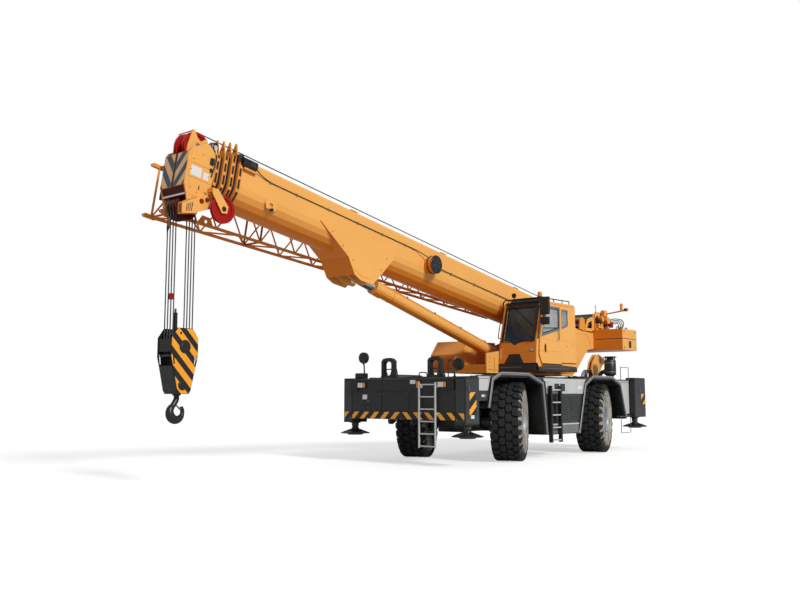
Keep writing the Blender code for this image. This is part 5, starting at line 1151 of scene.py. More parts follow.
def cab_trim():
    """Skirt, side panels, rails, roof parts, mirrors and rear grille of the cab."""
    p = Piece("cab_trim", "superstructure", "painted_orange")
    side = CAB_SIDE
    # skirt round the foot of the cab, with its slot and step
    p.prism([(-0.358, 2.162), (1.610, 2.162), (1.712, 2.352), (1.69, 2.352), (1.62, 2.262), (-0.358, 2.262)],
            "y", (1.570, 1.634), "charcoal", 0.006)
    p.box((0.10, 1.50), (1.632, 1.637), (2.222, 2.234), "grey", 0.001)
    p.box((-0.358, -0.3502), (0.525, 1.60), (2.162, 2.300), "charcoal", 0.004)
    p.prism([(1.605, 2.162), (1.712, 2.352), (1.70, 2.352), (1.595, 2.162)], "y", (0.5205, 1.60), "charcoal",
            0.002)
    p.box((-0.3525, -0.349), (0.53, 1.59), (2.40, 2.408), "deep_orange", 0.001)
    p.prism([(-0.352, 2.86), (-0.19, 2.86), (-0.19, 3.415), (-0.352, 3.46)], "y", (side, side + 0.005),
            "orange", 0.002)
    p.prism([(-0.195, 2.945), (0.375, 2.945), (0.375, 3.255), (0.09, 3.335), (0.05, 3.775), (-0.195, 3.775)],
            "y", (side - 0.002, side + 0.005), "orange", 0.002)
    p.prism([(-0.34, 3.775), (1.20, 3.775), (1.185, 3.865), (-0.34, 3.865)], "y", (side, side + 0.0045),
            "orange", 0.002)
    ring = [(0.055, 3.36), (0.385, 3.265), (0.385, 3.765), (0.075, 3.765)]
    hole = [(0.085, 3.385), (0.36, 3.305), (0.36, 3.740), (0.10, 3.740)]
    p.prism(ring, "y", (side + 0.001, side + 0.0054), "grey", holes=(hole,))
    for x, z in ((0.30, 3.02), (0.05, 3.02), (0.28, 2.82), (0.05, 2.82)):
        p.nuts([(x - 0.18, side, z)], (0, 1, 0), 0.012, 0.0052, "black")
    p.box((-0.34, 0.44), (side, side + 0.005), (2.365, 2.392), "black", 0.002)
    p.prism([(-0.352, 2.262), (0.48, 2.262), (0.48, 2.33), (-0.352, 2.30)], "y", (side, side + 0.004),
            "charcoal", 0.001)
    p.box((-0.28, 1.45), (1.640, 1.652), (2.264, 2.296), "black", 0.002)
    # rain rail, roof rails and their posts
    p.tube([(-0.33, 1.605, 3.875), (1.30, 1.605, 3.885)], 0.010, "orange", 8)
    for y in (1.50, 0.62):
        p.tube([(-0.22, y, 3.93), (-0.22, y, 4.03), (1.05, y, 4.02), (1.08, y, 3.93)], 0.014, "black", 10)
        for x in (0.15, 0.60):
            p.rod((x, y, 3.925), (x, y, 4.022), 0.012, "black", sides=10)
    p.prism([(-0.22, 0.66), (1.10, 0.66), (1.10, 1.46), (-0.22, 1.46)], "z", (3.9302, 3.940), "deep_orange",
            0.004)
    p.prism([(0.20, 0.80), (0.78, 0.80), (0.78, 1.32), (0.20, 1.32)], "z", (3.9402, 3.962), "black", 0.010)
    p.box((0.26, 0.72), (0.86, 1.26), (3.962, 3.968), "tinted_glass", 0.003)
    # rail and visor above the windscreen, work lamp and beacon
    p.tube([(1.37, 0.49, 3.70), (1.40, 0.485, 3.90), (1.39, 0.53, 3.975), (1.38, 0.66, 3.992),
            (1.38, 1.60, 4.000), (1.34, 1.635, 3.99), (1.25, 1.635, 3.96)], 0.017, "black", 12, steps=4)
    p.prism([(1.28, 3.931), (1.43, 3.90), (1.435, 3.915), (1.36, 4.005), (1.30, 4.005)], "y", (0.72, 1.58),
            "black", 0.008)
    for y in (0.62, 0.78):
        p.rod((1.37, y, 3.90), (1.37, y, 3.99), 0.010, "black", sides=8)
    p.rod((1.34, 0.78, 3.98), (1.34, 0.78, 4.05), 0.012, "black", sides=10)
    p.lathe([(0.0, -0.035), (0.040, -0.032), (0.062, 0.0), (0.066, 0.024), (0.054, 0.026), (0.050, 0.014),
             (0.0, 0.012)], (1.34, 0.78, 4.10), "x", "black", 28)
    p.rod((1.12, 1.40, 3.928), (1.12, 1.40, 4.03), 0.030, "black", sides=16)
    p.rod((1.12, 1.40, 4.025), (1.12, 1.40, 4.065), 0.062, "black", sides=28)
    p.lathe([(0.0, 0.115), (0.040, 0.112), (0.056, 0.100), (0.060, 0.0), (0.0, 0.0)],
            (1.12, 1.40, 4.065), "z", "amber", 28)
    # rear view mirrors on their frame at the front pillar
    p.tube([(1.50, 1.585, 3.38), (1.56, 1.66, 3.38), (1.610, 1.75, 3.39), (1.612, 1.78, 3.55),
            (1.612, 1.78, 3.82), (1.55, 1.70, 3.85), (1.385, 1.585, 3.83)], 0.013, "black", 10, steps=4)
    p.prism([(1.568, 2.95), (1.638, 2.95), (1.405, 3.86), (1.325, 3.86)], "y", (side - 0.001, side + 0.006),
            "slate", 0.002)
    p.box((1.40, 1.45), (1.585, 1.635), (3.62, 3.76), "amber", 0.008)
    p.box((1.600, 1.668), (1.70, 1.968), (3.530, 3.975), "black", 0.028)
    p.box((1.594, 1.6015), (1.724, 1.944), (3.560, 3.945), "mirror_glass", 0.002)
    p.box((1.600, 1.655), (1.71, 1.955), (3.285, 3.475), "black", 0.024)
    p.box((1.594, 1.6015), (1.734, 1.932), (3.310, 3.450), "mirror_glass", 0.002)
    p.rod((1.625, 1.83, 3.46), (1.625, 1.83, 3.55), 0.014, "black", sides=10)
    # rear of the cab: grille and hoses down to the frame
    for i in range(7):
        p.box((-0.362, -0.351), (0.70, 1.40), (2.46 + 0.045 * i, 2.482 + 0.045 * i), "black", 0.002)
    for i in range(3):
        p.tube([(-0.345, 0.62 + 0.07 * i, 2.36), (-0.46, 0.60 + 0.05 * i, 2.33),
                (-0.52, 0.56, 2.24 - 0.02 * i), (-0.60, 0.53, 2.20)], 0.014, "hose", 8, steps=4)
    p.done()


def door_trim():
    """Window frame, seams, handle recess and grab bar of the sliding door."""
    p = Piece("door_trim", "door", "painted_orange")
    y = 1.6412
    p.prism([(0.582, 2.902), (1.468, 2.962), (1.452, 3.045), (0.582, 3.245)], "y", (1.6285, 1.6402),
            "orange", 0.002)
    ring = [(0.545, 3.225), (1.500, 3.005), (1.275, 3.805), (0.545, 3.805)]
    hole = [(0.615, 3.265), (1.430, 3.075), (1.225, 3.750), (0.615, 3.750)]
    p.prism(ring, "y", (y - 0.001, y + 0.006), "grey", holes=(hole,))
    p.prism(hole, "y", (1.6285, 1.635), "black",
            holes=([(0.635, 3.285), (1.405, 3.105), (1.212, 3.730), (0.635, 3.730)],))
    p.prism([(0.635, 3.262), (1.42, 3.215), (1.415, 3.235), (0.635, 3.282)], "y", (1.630, 1.636), "black",
            0.001)
    p.prism([(0.51, 2.655), (1.585, 2.655), (1.585, 2.667), (0.51, 2.667)], "y", (y - 0.001, y + 0.003),
            "deep_orange", 0.001)
    recess = [(1.30 + 0.055 * a, 2.735 + 0.115 * b) for a, b in circle((0, 0), 1.0, 20)]
    p.prism(recess, "y", (y - 0.001, y + 0.010), "black", 0.004)
    p.prism([(0.502, 2.302), (1.438, 2.302), (1.470, 2.350), (0.502, 2.350)], "y", (y - 0.001, y + 0.004),
            "charcoal", 0.001)
    p.tube([(0.68, y, 2.95), (0.68, y + 0.045, 2.97), (0.68, y + 0.045, 3.19), (0.68, y, 3.21)], 0.010,
           "black", 10)
    p.done()


def seat():
    """What shows through the glass: seat, console, wheel, levers and a screen."""
    floor = CAB_FLOOR
    mid = 1.08
    p = Piece("cab_controls", "superstructure", "seat_plastic", SLEW, ("cab_interior",))
    p.box((-0.25, 1.45), (0.62, 1.50), (floor, floor + 0.02), "plastic", 0.004)
    p.box((0.15, 0.62), (mid - 0.18, mid + 0.18), (floor + 0.02, floor + 0.30), "seat_shell", 0.03)
    p.box((0.10, 0.62), (mid - 0.24, mid + 0.24), (floor + 0.30, floor + 0.345), "seat_shell", 0.015)
    p.prism([(0.02, floor + 0.34), (0.10, floor + 0.34), (0.05, floor + 1.08), (-0.02, floor + 1.08)], "y",
            (mid - 0.22, mid + 0.22), "seat_shell", 0.01)
    for s in (1, -1):
        p.box((0.18, 0.74), (mid + s * 0.305, mid + s * 0.395), (floor + 0.34, floor + 0.58), "plastic", 0.02)
        p.box((0.20, 0.52), (mid + s * 0.31, mid + s * 0.39), (floor + 0.58, floor + 0.62), "seat_shell",
              0.012)
        p.rod((0.64, mid + s * 0.35, floor + 0.57), (0.66, mid + s * 0.35, floor + 0.74), 0.012, "black",
              sides=12)
        p.lathe([(0.0, 0.05), (0.020, 0.045), (0.030, 0.02), (0.024, -0.03), (0.0, -0.035)],
                (0.66, mid + s * 0.35, floor + 0.76), "z", "black", 16)
    p.tube([(1.28, mid, floor + 0.02), (1.24, mid, floor + 0.25), (1.13, mid, floor + 0.60)], 0.045,
           "plastic", 14, steps=3)
    turn = Matrix.Translation((1.11, mid, floor + 0.64)) @ Matrix.Rotation(-0.24, 4, "Y")
    p.tube([(x, y, 0) for x, y in circle((0, 0), 0.185, 36)], 0.014, "black", 10, closed=True, extra=turn)
    p.lathe([(0.0, 0.012), (0.05, 0.010), (0.055, -0.02), (0.0, -0.03)], (0, 0, 0), "z", "black", 20,
            extra=turn)
    for i in range(3):
        a = 2 * math.pi * i / 3 + 0.5
        p.rod((0.04 * math.cos(a), 0.04 * math.sin(a), -0.005), (0.18 * math.cos(a), 0.18 * math.sin(a), 0),
              0.010, "black", sides=8, extra=turn)
    p.box((1.30, 1.42), (0.66, 0.92), (floor + 0.55, floor + 0.78), "black", 0.012)
    p.box((1.294, 1.3005), (0.68, 0.90), (floor + 0.58, floor + 0.76), "mirror_glass", 0.002)
    for y in (0.96, 1.20):
        p.box((1.22, 1.34), (y - 0.04, y + 0.04), (floor + 0.08, floor + 0.10), "black", 0.004,
              Matrix.Translation((1.28, 0, floor + 0.09)) @ Matrix.Rotation(-0.5, 4, "Y")
              @ Matrix.Translation((-1.28, 0, -floor - 0.09)))
    p.done()
    cushion("seat_base", (0.36, mid, floor + 0.415), (0.52, 0.50, 0.13), 0.0)
    cushion("seat_back", (0.130, mid, floor + 0.77), (0.115, 0.46, 0.62), -0.09)
    cushion("seat_rest", (0.075, mid, floor + 1.19), (0.09, 0.26, 0.17), -0.09)


VOXEL = 0.006
CLOTH_FRAMES = 20
SWELL = 0.006


def cushion(name, centre, size, lean):
    """A stuffed block: remeshed, blown up a little as cloth, then smoothed."""
    bm = bmesh.new()
    bmesh.ops.create_cube(bm, size=1, matrix=Matrix.Diagonal((*size, 1)))
    bmesh.ops.bevel(bm, geom=bm.edges[:], offset=min(size) * 0.30, segments=3, affect="EDGES")
    mesh = bpy.data.meshes.new(name)
    bm.to_mesh(mesh)
    bm.free()
    mesh.materials.append(MATS["seat_cloth"])
    obj = bpy.data.objects.new(name, mesh)
    scene = bpy.context.scene
    scene.collection.objects.link(obj)
    obj.matrix_world = SLEW @ Matrix.Translation(centre) @ Matrix.Rotation(lean, 4, "Y")
    bpy.context.view_layer.objects.active = obj
    obj.select_set(True)
    remesh = obj.modifiers.new("even", "REMESH")
    remesh.mode = "VOXEL"
    remesh.voxel_size = VOXEL
    bpy.ops.object.modifier_apply(modifier=remesh.name)
    before = [v.co.copy() for v in obj.data.vertices]
    cloth = obj.modifiers.new("fill", "CLOTH")
    cloth.settings.use_pressure = True
    cloth.settings.uniform_pressure_force = 4
    cloth.settings.tension_stiffness = 60
    cloth.settings.compression_stiffness = 60
    cloth.settings.effector_weights.gravity = 0
    cloth.point_cache.frame_start = 1
    cloth.point_cache.frame_end = CLOTH_FRAMES
    for number in range(1, CLOTH_FRAMES + 1):
        scene.frame_set(number)
        bpy.context.view_layer.update()
    bpy.ops.object.modifier_apply(modifier=cloth.name)
    scene.frame_set(1)
    for vert, start in zip(obj.data.vertices, before):
        move = vert.co - start
        if move.length > SWELL:
            vert.co = start + move.normalized() * SWELL
    soft = obj.modifiers.new("soft", "SUBSURF")
    soft.levels = soft.render_levels = 1
    bpy.ops.object.modifier_apply(modifier=soft.name)
    obj.select_set(False)
    obj.data.shade_smooth()
    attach(obj, "superstructure")


def turntable_trim():
    """Pivot caps, edge strips, ring bolts, hoses and boxes of the turntable."""
    p = Piece("turntable_trim", "superstructure", "painted_orange")
    for s in (1, -1):
        y = s * 0.5052
        p.lathe([(0.0, 0.018), (0.085, 0.018), (0.095, 0.010), (0.215, 0.008), (0.218, 0.0), (0.0, 0.0)],
                (PIVOT[0], s * 0.5552, PIVOT[1]), "y", "orange", 40)
        p.bolt_circle((PIVOT[0], s * 0.560, PIVOT[1]), (0, s, 0), 0.175, 8, 0.015, 0.012, first=0.5)
        rim = [(-2.48, 3.44), (-3.21, 3.42), (-3.38, 3.27), (-3.42, 3.00), (-3.14, 2.95), (-2.62, 2.48),
               (-2.30, 2.48), (-1.55, 2.62), (-1.50, 3.05), (-2.20, 3.02)]
        mid_x = sum(point[0] for point in rim) / len(rim)
        mid_z = sum(point[1] for point in rim) / len(rim)
        inner = [(mid_x + (x - mid_x) * 0.88, mid_z + (z - mid_z) * 0.84) for x, z in rim]
        p.prism(rim, "y", (y, y + s * 0.008), "orange", holes=(inner,))
        p.prism([(-1.30, 2.20), (2.20, 2.20), (2.20, 2.235), (-1.30, 2.235)], "y", (y, y + s * 0.012),
                "orange")
        for x in (-1.1, -0.5, 0.1, 0.7, 1.3, 1.9):
            p.prism([(x - 0.012, 2.16), (x + 0.012, 2.16), (x + 0.012, 2.50), (x - 0.012, 2.50)], "y",
                    (y, y + s * 0.02), "orange")
        p.nuts([(2.12, y, z) for z in (2.2, 2.3, 2.4, 2.5)], (0, s, 0), 0.012, 0.010)
    p.nuts([(x, y, 2.125) for x, y in circle((0, 0), 0.90, 36) if abs(y) > 0.56], (0, 0, 1), 0.016, 0.014)
    # box beside the boom's foot, and the hoses from it up to the pivot
    p.box((-1.50, -0.75), (0.5055, 0.90), (2.16, 2.34), "orange", 0.012)
    p.box((-1.46, -0.80), (0.8998, 0.906), (2.19, 2.31), "deep_orange", 0.004)
    for i in range(5):
        x = -0.62 - 0.05 * i
        p.tube([(x, 0.52, 2.30), (x - 0.02, 0.60, 2.46 + 0.02 * i), (x - 0.20, 0.58, 2.62),
                (x - 0.55, 0.545, 2.78), (x - 0.95, 0.54, 2.98), (-1.72, 0.535, 3.07)], 0.015, "hose", 8,
               steps=5)
    for i in range(4):
        y = -0.16 + 0.10 * i
        p.tube([(-1.35, y, 2.16), (-1.45, y, 2.36), (-1.75, y * 1.2, 2.75), (-2.05, y, 2.92),
                (-2.02, y, 3.02)], 0.018, "hose", 8, steps=5)
    p.box((-1.55, -1.20), (-0.30, 0.30), (2.1502, 2.26), "charcoal", 0.01)
    p.box((-0.95, -0.66), (-0.40, 0.40), (2.1502, 2.30), "iron", 0.015)
    p.done()


def weight_trim():
    """Seam between the counterweight's slabs, lifting eyes, bolts and rear lamps."""
    p = Piece("weight_trim", "superstructure", "painted_orange")
    seam = 3.235
    for s in (1, -1):
        p.box((-4.47, -3.555), (s * 1.4495, s * 1.4515), (seam - 0.009, seam + 0.009), "iron", 0.0005)
        p.box((-3.5505, -3.548), (s * 0.56, s * 1.445), (seam - 0.009, seam + 0.009), "iron", 0.0005)
        p.box((-4.20, -3.60), (s * 1.4495, s * 1.4512), (3.375, 3.381), "deep_orange", 0.0005)
    p.box((-4.6500, -4.6490), (-1.28, 1.28), (seam - 0.006, seam + 0.006), "deep_orange", 0.0002)
    for s in (1, -1):
        for x in (-4.35, -3.75):
            p.tube([(x - 0.07, s * 1.20, 3.519), (x - 0.065, s * 1.20, 3.575), (x, s * 1.20, 3.60),
                    (x + 0.065, s * 1.20, 3.575), (x + 0.07, s * 1.20, 3.519)], 0.016, "steel", 10, steps=4)
        p.nuts([(x, s * 1.4502, z) for x in (-4.40, -3.66) for z in (2.97, 3.44)], (0, s, 0), 0.022, 0.014)
        p.box((-4.6499, -4.6420), (s * 0.80, s * 1.10), (2.99, 3.09), "red_lens", 0.001)
    p.box((-4.12, -3.98), (1.455, 1.462), (2.97, 3.17), "black", 0.002)
    p.done()


def winch_trim():
    """Wound rope, motors, valve blocks, pipes and guides of the two winches, with camera and beacon."""
    p = Piece("winch_trim", "superstructure", "painted_orange")
    top = WEIGHT_TOP
    axle = top + 0.287
    turns = 36
    for x in (-4.20, -3.76):
        rope = [(0.168, -0.475)]
        for i in range(turns + 1):
            y = -0.47 + 0.94 * i / turns
            rope += [(0.214, y - 0.013), (0.224, y), (0.214, y + 0.0129)]
        rope += [(0.168, 0.475)]
        p.lathe(rope, (x, 0, axle), "y", "wire_rope", 40)
        for s in (1, -1):
            p.lathe([(0.0, 0.11), (0.09, 0.105), (0.11, 0.08), (0.13, 0.02), (0.16, 0.015), (0.16, 0.0),
                     (0.0, 0.0)], (0, 0, 0), "y", "black", 28,
                    extra=Matrix.Translation((x, s * 0.5605, axle)) @ mirror(s))
            p.bolt_circle((x, s * 0.575, axle), (0, s, 0), 0.145, 8, 0.011, 0.010)
    for i in range(4):
        z = top + 0.34 - 0.03 * i
        p.tube([(-4.28, 0.62, z - 0.02), (-4.42, 0.80, z + 0.04 - 0.02 * i), (-4.55, 0.98 - 0.05 * i, z),
                (-4.58, 1.02 - 0.05 * i, z - 0.14), (-4.48, 0.98 - 0.05 * i, 3.56),
                (-4.36, 0.90 - 0.04 * i, 3.53)], 0.014, "hose", 8, steps=6)
    p.box((-4.34, -4.16), (0.735, 0.80), (top + 0.10, top + 0.26), "red", 0.015)
    p.box((-4.30, -4.20), (0.57, 0.74), (top + 0.14, top + 0.22), "red", 0.010)
    # motor blocks, valve blocks and pipes in front of and beside the drums
    p.box((-4.12, -3.92), (0.58, 0.72), (top + 0.42, top + 0.62), "orange", 0.02)
    p.rod((-4.02, 0.57, top + 0.30), (-4.02, 0.80, top + 0.30), 0.10, "orange", sides=24)
    p.box((-3.90, -3.62), (0.5702, 0.68), (top + 0.05, top + 0.20), "orange", 0.012)
    p.rod((-3.76, 0.57, top + 0.34), (-3.76, 0.74, top + 0.34), 0.085, "deep_orange", sides=24)
    for k in range(5):
        x0 = -4.30 + 0.15 * k
        p.tube([(x0, 0.66, top + 0.02), (x0 + 0.02, 0.70, top + 0.16 + 0.02 * k),
                (x0 + 0.07, 0.69, top + 0.26), (x0 + 0.10, 0.60, top + 0.38)], 0.013,
               "deep_orange" if k % 2 else "hose", 8, steps=5)
    for s in (1, -1):
        p.prism([(-3.57, 3.53), (-3.40, 3.47), (-3.02, 3.47), (-3.02, 3.60), (-3.15, 3.82), (-3.42, 3.90),
                 (-3.57, 3.86)], "y", (s * 0.508, s * 0.535), "orange",
                holes=([(-3.44, 3.56), (-3.12, 3.56), (-3.18, 3.70), (-3.42, 3.80)],))
        p.prism([(-2.98, 3.45), (-2.62, 3.50), (-2.66, 3.78), (-2.80, 3.86), (-2.96, 3.80)], "y",
                (s * 0.508, s * 0.545), "deep_orange")
    p.rod((-3.28, -0.507, 3.66), (-3.28, 0.507, 3.66), 0.035, "steel", sides=16)
    p.rod((-2.80, -0.507, 3.80), (-2.80, 0.507, 3.80), 0.045, "orange", sides=20)
    p.lathe([(0.045, 0.12), (0.09, 0.12), (0.09, 0.10), (0.06, 0.09), (0.06, -0.09), (0.09, -0.10),
             (0.09, -0.12), (0.045, -0.12)], (-2.80, 0.155, 3.80), "y", "steel", 28, closed=True)
    p.tube([(-3.62, 0.155, top + 0.47), (-3.30, 0.155, 3.86), (-2.72, 0.155, 3.90)], 0.0115, "wire_rope", 8)
    # antenna, camera and beacon
    p.rod((-3.70, 0.53, top + 0.50), (-3.70, 0.53, 4.25), 0.008, "black", sides=8)
    p.lathe([(0.0, 0.03), (0.016, 0.025), (0.020, 0.0), (0.0, 0.0)], (-3.70, 0.53, 4.25), "z", "black", 12)
    p.box((-4.10, -4.00), (1.302, 1.418), (4.078, 4.163), "black", 0.010)
    p.lathe([(0.0, 0.03), (0.026, 0.03), (0.034, 0.0), (0.0, 0.0)], (-4.00, 1.36, 4.12), "x", "black", 20)
    p.lathe([(0.0, 0.10), (0.03, 0.098), (0.043, 0.08), (0.046, 0.0), (0.0, 0.0)], (-4.05, 1.21, 4.2205), "z",
            "amber", 24)
    p.done()


def cabinet_trim():
    """Doors, handles, louvres and filler cap of the cabinet opposite the cab."""
    p = Piece("cabinet_trim", "superstructure", "painted_orange")
    for x in (0.36, 0.93):
        p.box((x, x + 0.52), (-1.5085, -1.5005), (2.22, 2.90), "orange", 0.004)
        p.box((x + 0.42, x + 0.47), (-1.516, -1.508), (2.52, 2.62), "black", 0.004)
    for i in range(8):
        p.box((0.2915, 0.2995), (-1.40, -0.70), (2.30 + 0.06 * i, 2.325 + 0.06 * i), "black", 0.002)
    p.box((1.9005, 1.9075), (-1.42, -0.60), (2.22, 2.56), "deep_orange", 0.004)
    p.rod((0.9, -1.0, 2.98), (0.9, -1.0, 3.05), 0.05, "black", sides=20)
    p.done()


# Carrier

def front_trim():
    """Front box: hazard band, lamps, blank plates, hoops, mirrors and tow eyes."""
    p = Piece("front_trim", "carrier", "painted_charcoal")
    x = FRONT_FACE
    p.box((x, x + 0.010), (-1.495, 1.495), (1.015, 1.175), "hazard_front", 0.002)
    p.box((x, x + 0.008), (-1.495, 1.495), (1.183, 1.193), "black", 0.002)
    p.box((x, x + 0.012), (-1.495, 1.495), (1.905, 1.936), "slate", 0.004)
    p.box((x, x + 0.006), (-0.586, -0.572), (1.20, 1.90), "black", 0.001)
    p.box((x, x + 0.006), (-1.40, 0.50), (1.636, 1.646), "black", 0.001)
    for y0, y1 in ((-1.03, -0.60), (-0.55, 0.22), (-1.46, -1.12)):
        p.box((x, x + 0.007), (y0, y1), (1.22, 1.615), "charcoal", 0.003)
        p.nuts([(x + 0.007, y, z) for y in (y0 + 0.03, y1 - 0.03) for z in (1.26, 1.58)], (1, 0, 0), 0.009,
               0.007)
    p.box((x, x + 0.010), (0.26, 0.41), (1.81, 1.895), "white", 0.002)
    p.box((x, x + 0.010), (0.44, 0.53), (1.72, 1.87), "orange", 0.002)
    p.box((x, x + 0.010), (-1.17, -1.03), (1.46, 1.57), "white", 0.002)
    p.lathe([(0.0, 0.004), (0.055, 0.004), (0.075, 0.014), (0.080, 0.006), (0.080, 0.0), (0.0, 0.0)],
            (x, -1.07, 1.39), "x", "black", 28)
    for s in (1, -1):
        y = s * 1.18
        p.box((5.0202, 5.026), (y - 0.115, y + 0.115), (1.725, 1.855), "black", 0.003)
        p.box((5.026, 5.034), (y - 0.110, y + 0.038), (1.735, 1.845), "white", 0.006)
        p.box((5.026, 5.034), (y + 0.042, y + 0.110), (1.735, 1.845), "amber", 0.006)
        p.box((x, x + 0.05), (s * 1.31, s * 1.49), (1.68, 1.89), "black", 0.006)
        # tow eyes under the box
        p.prism([(4.80, 1.009), (5.03, 1.009), (5.035, 0.95), (4.99, 0.90), (4.90, 0.90), (4.80, 0.96)], "y",
                (s * 0.30, s * 0.35), "black",
                holes=(circle((4.965, 0.95), 0.026, 12),))
    # grab bar at the ladder, then the two hoops with their stays and steps
    p.tube([(4.955, 0.50, 1.94), (4.955, 0.50, 2.03), (4.955, 0.54, 2.06), (4.955, 0.68, 2.06),
            (4.955, 0.72, 2.03), (4.955, 0.72, 1.94)], 0.013, "black", 10, steps=3)
    for y in (0.62, -0.77):
        p.box((4.5602, 4.568), (y - 0.115, y + 0.115), (1.945, 2.01), "slate", 0.003)
        for k in (-1, 1):
            p.tube([(4.50, y + k * 0.155, 2.36), (4.42, y + k * 0.16, 2.20), (4.36, y + k * 0.17, 1.95)],
                   0.012, "black", 8)
            p.prism([(y + k * 0.125, 2.16), (y + k * 0.10, 2.16), (y + k * 0.05, 2.02),
                     (y + k * 0.125, 2.02)], "x", (4.47, 4.53), "black")
            p.prism([(y + k * 0.19, 1.94), (y + k * 0.24, 1.94), (y + k * 0.19, 2.10)], "x", (4.46, 4.54),
                    "black")
        p.box((4.47, 4.53), (y - 0.125, y + 0.125), (2.155, 2.18), "black", 0.004)
        p.box((4.45, 4.55), (y - 0.09, y + 0.09), (2.419, 2.437), "black", 0.006)
        p.nuts([(4.5602, y + k * 0.155, z) for k in (-1, 1) for z in (2.05, 2.30)], (1, 0, 0), 0.010, 0.008)
    p.box((4.36, 4.90), (-1.40, 1.40), (BOX_TOP, BOX_TOP + 0.0078), "tread_plate", 0.002)
    # round mirrors on their posts, the crane's left one lower than its right one
    for s, top in ((1, 2.24), (-1, 2.45)):
        face = s * 1.40
        p.lathe([(0.0, 0.026), (0.105, 0.026), (0.131, 0.014), (0.134, 0.004), (0.134, -0.006),
                 (0.0, -0.006)], (4.722, face, top), "x", "black", 36)
        p.lathe([(0.0, 0.001), (0.119, 0.001), (0.119, -0.002), (0.0, -0.002)], (4.6585, face, top), "x",
                "mirror_glass", 36)
        p.lathe([(0.119, -0.003), (0.134, -0.003), (0.134, 0.004), (0.119, 0.004)], (4.6585, face, top), "x",
                "black", 36, closed=True)
        p.rod((4.75, s * 1.33, 1.94), (4.75, s * 1.33, 1.985), 0.035, "black", sides=20)
        p.rod((4.735, face - s * 0.02, top - 0.16), (4.735, face - s * 0.02, top - 0.02), 0.022, "black",
              sides=14)
    p.tube([(4.93, 1.29, 1.94), (4.93, 1.29, 2.20), (4.93, 1.29, 2.29), (4.93, 1.32, 2.32),
            (4.93, 1.40, 2.325), (4.86, 1.44, 2.325)], 0.012, "black", 10, steps=3)
    p.tube([(4.93, 1.47, 1.94), (4.93, 1.47, 2.02), (4.90, 1.45, 2.12), (4.80, 1.42, 2.16)], 0.012, "black",
           10, steps=3)
    p.box((x, 4.9855), (0.95, 1.48), (1.912, 1.936), "deep_orange", 0.001)
    p.box((4.70, 4.92), (-1.49, -1.24), (1.945, 2.08), "black", 0.02)
    p.done()


def front_ladder():
    """Rails, clips and toothed rungs of the ladder on the front box."""
    p = Piece("front_ladder", "carrier", "painted_silver", SLEW, ("ladder_front",))
    x = FRONT_FACE
    xl = 5.05
    for y in (0.57, 1.02):
        p.prism([(xl - 0.014, 0.40), (xl + 0.018, 0.40), (xl + 0.018, 1.84), (xl - 0.014, 1.84)], "y",
                (y - 0.018, y + 0.018), "silver")
        for z in (1.15, 1.75):
            p.box((x + 0.002, xl - 0.01), (y - 0.012, y + 0.012), (z - 0.02, z + 0.02), "silver", 0.003)
            p.nuts([(x + 0.014, y, z)], (1, 0, 0), 0.009, 0.008)
            p.box((x + 0.0005, x + 0.008), (y - 0.045, y + 0.045), (z - 0.035, z + 0.035), "silver", 0.003)
    for i in range(6):
        z = 0.44 + 0.27 * i
        p.box((xl - 0.016, xl + 0.016), (0.588, 1.002), (z - 0.014, z + 0.014), "silver", 0.004)
        for k in range(14):
            y = 0.61 + 0.027 * k
            p.box((xl - 0.012, xl + 0.012), (y - 0.005, y + 0.005), (z + 0.0125, z + 0.0165), "steel", 0.0015)
    p.done()


FRONT_ARCH = ((1.34, 0.59), (1.52, 1.83), (2.16, 2.03), (3.37, 2.03), (3.70, 1.90), (3.86, 1.27))
REAR_ARCH = ((-3.19, 0.90), (-2.86, 1.85), (-2.36, 2.03), (-1.21, 2.03), (-0.79, 1.83), (-0.39, 0.57))


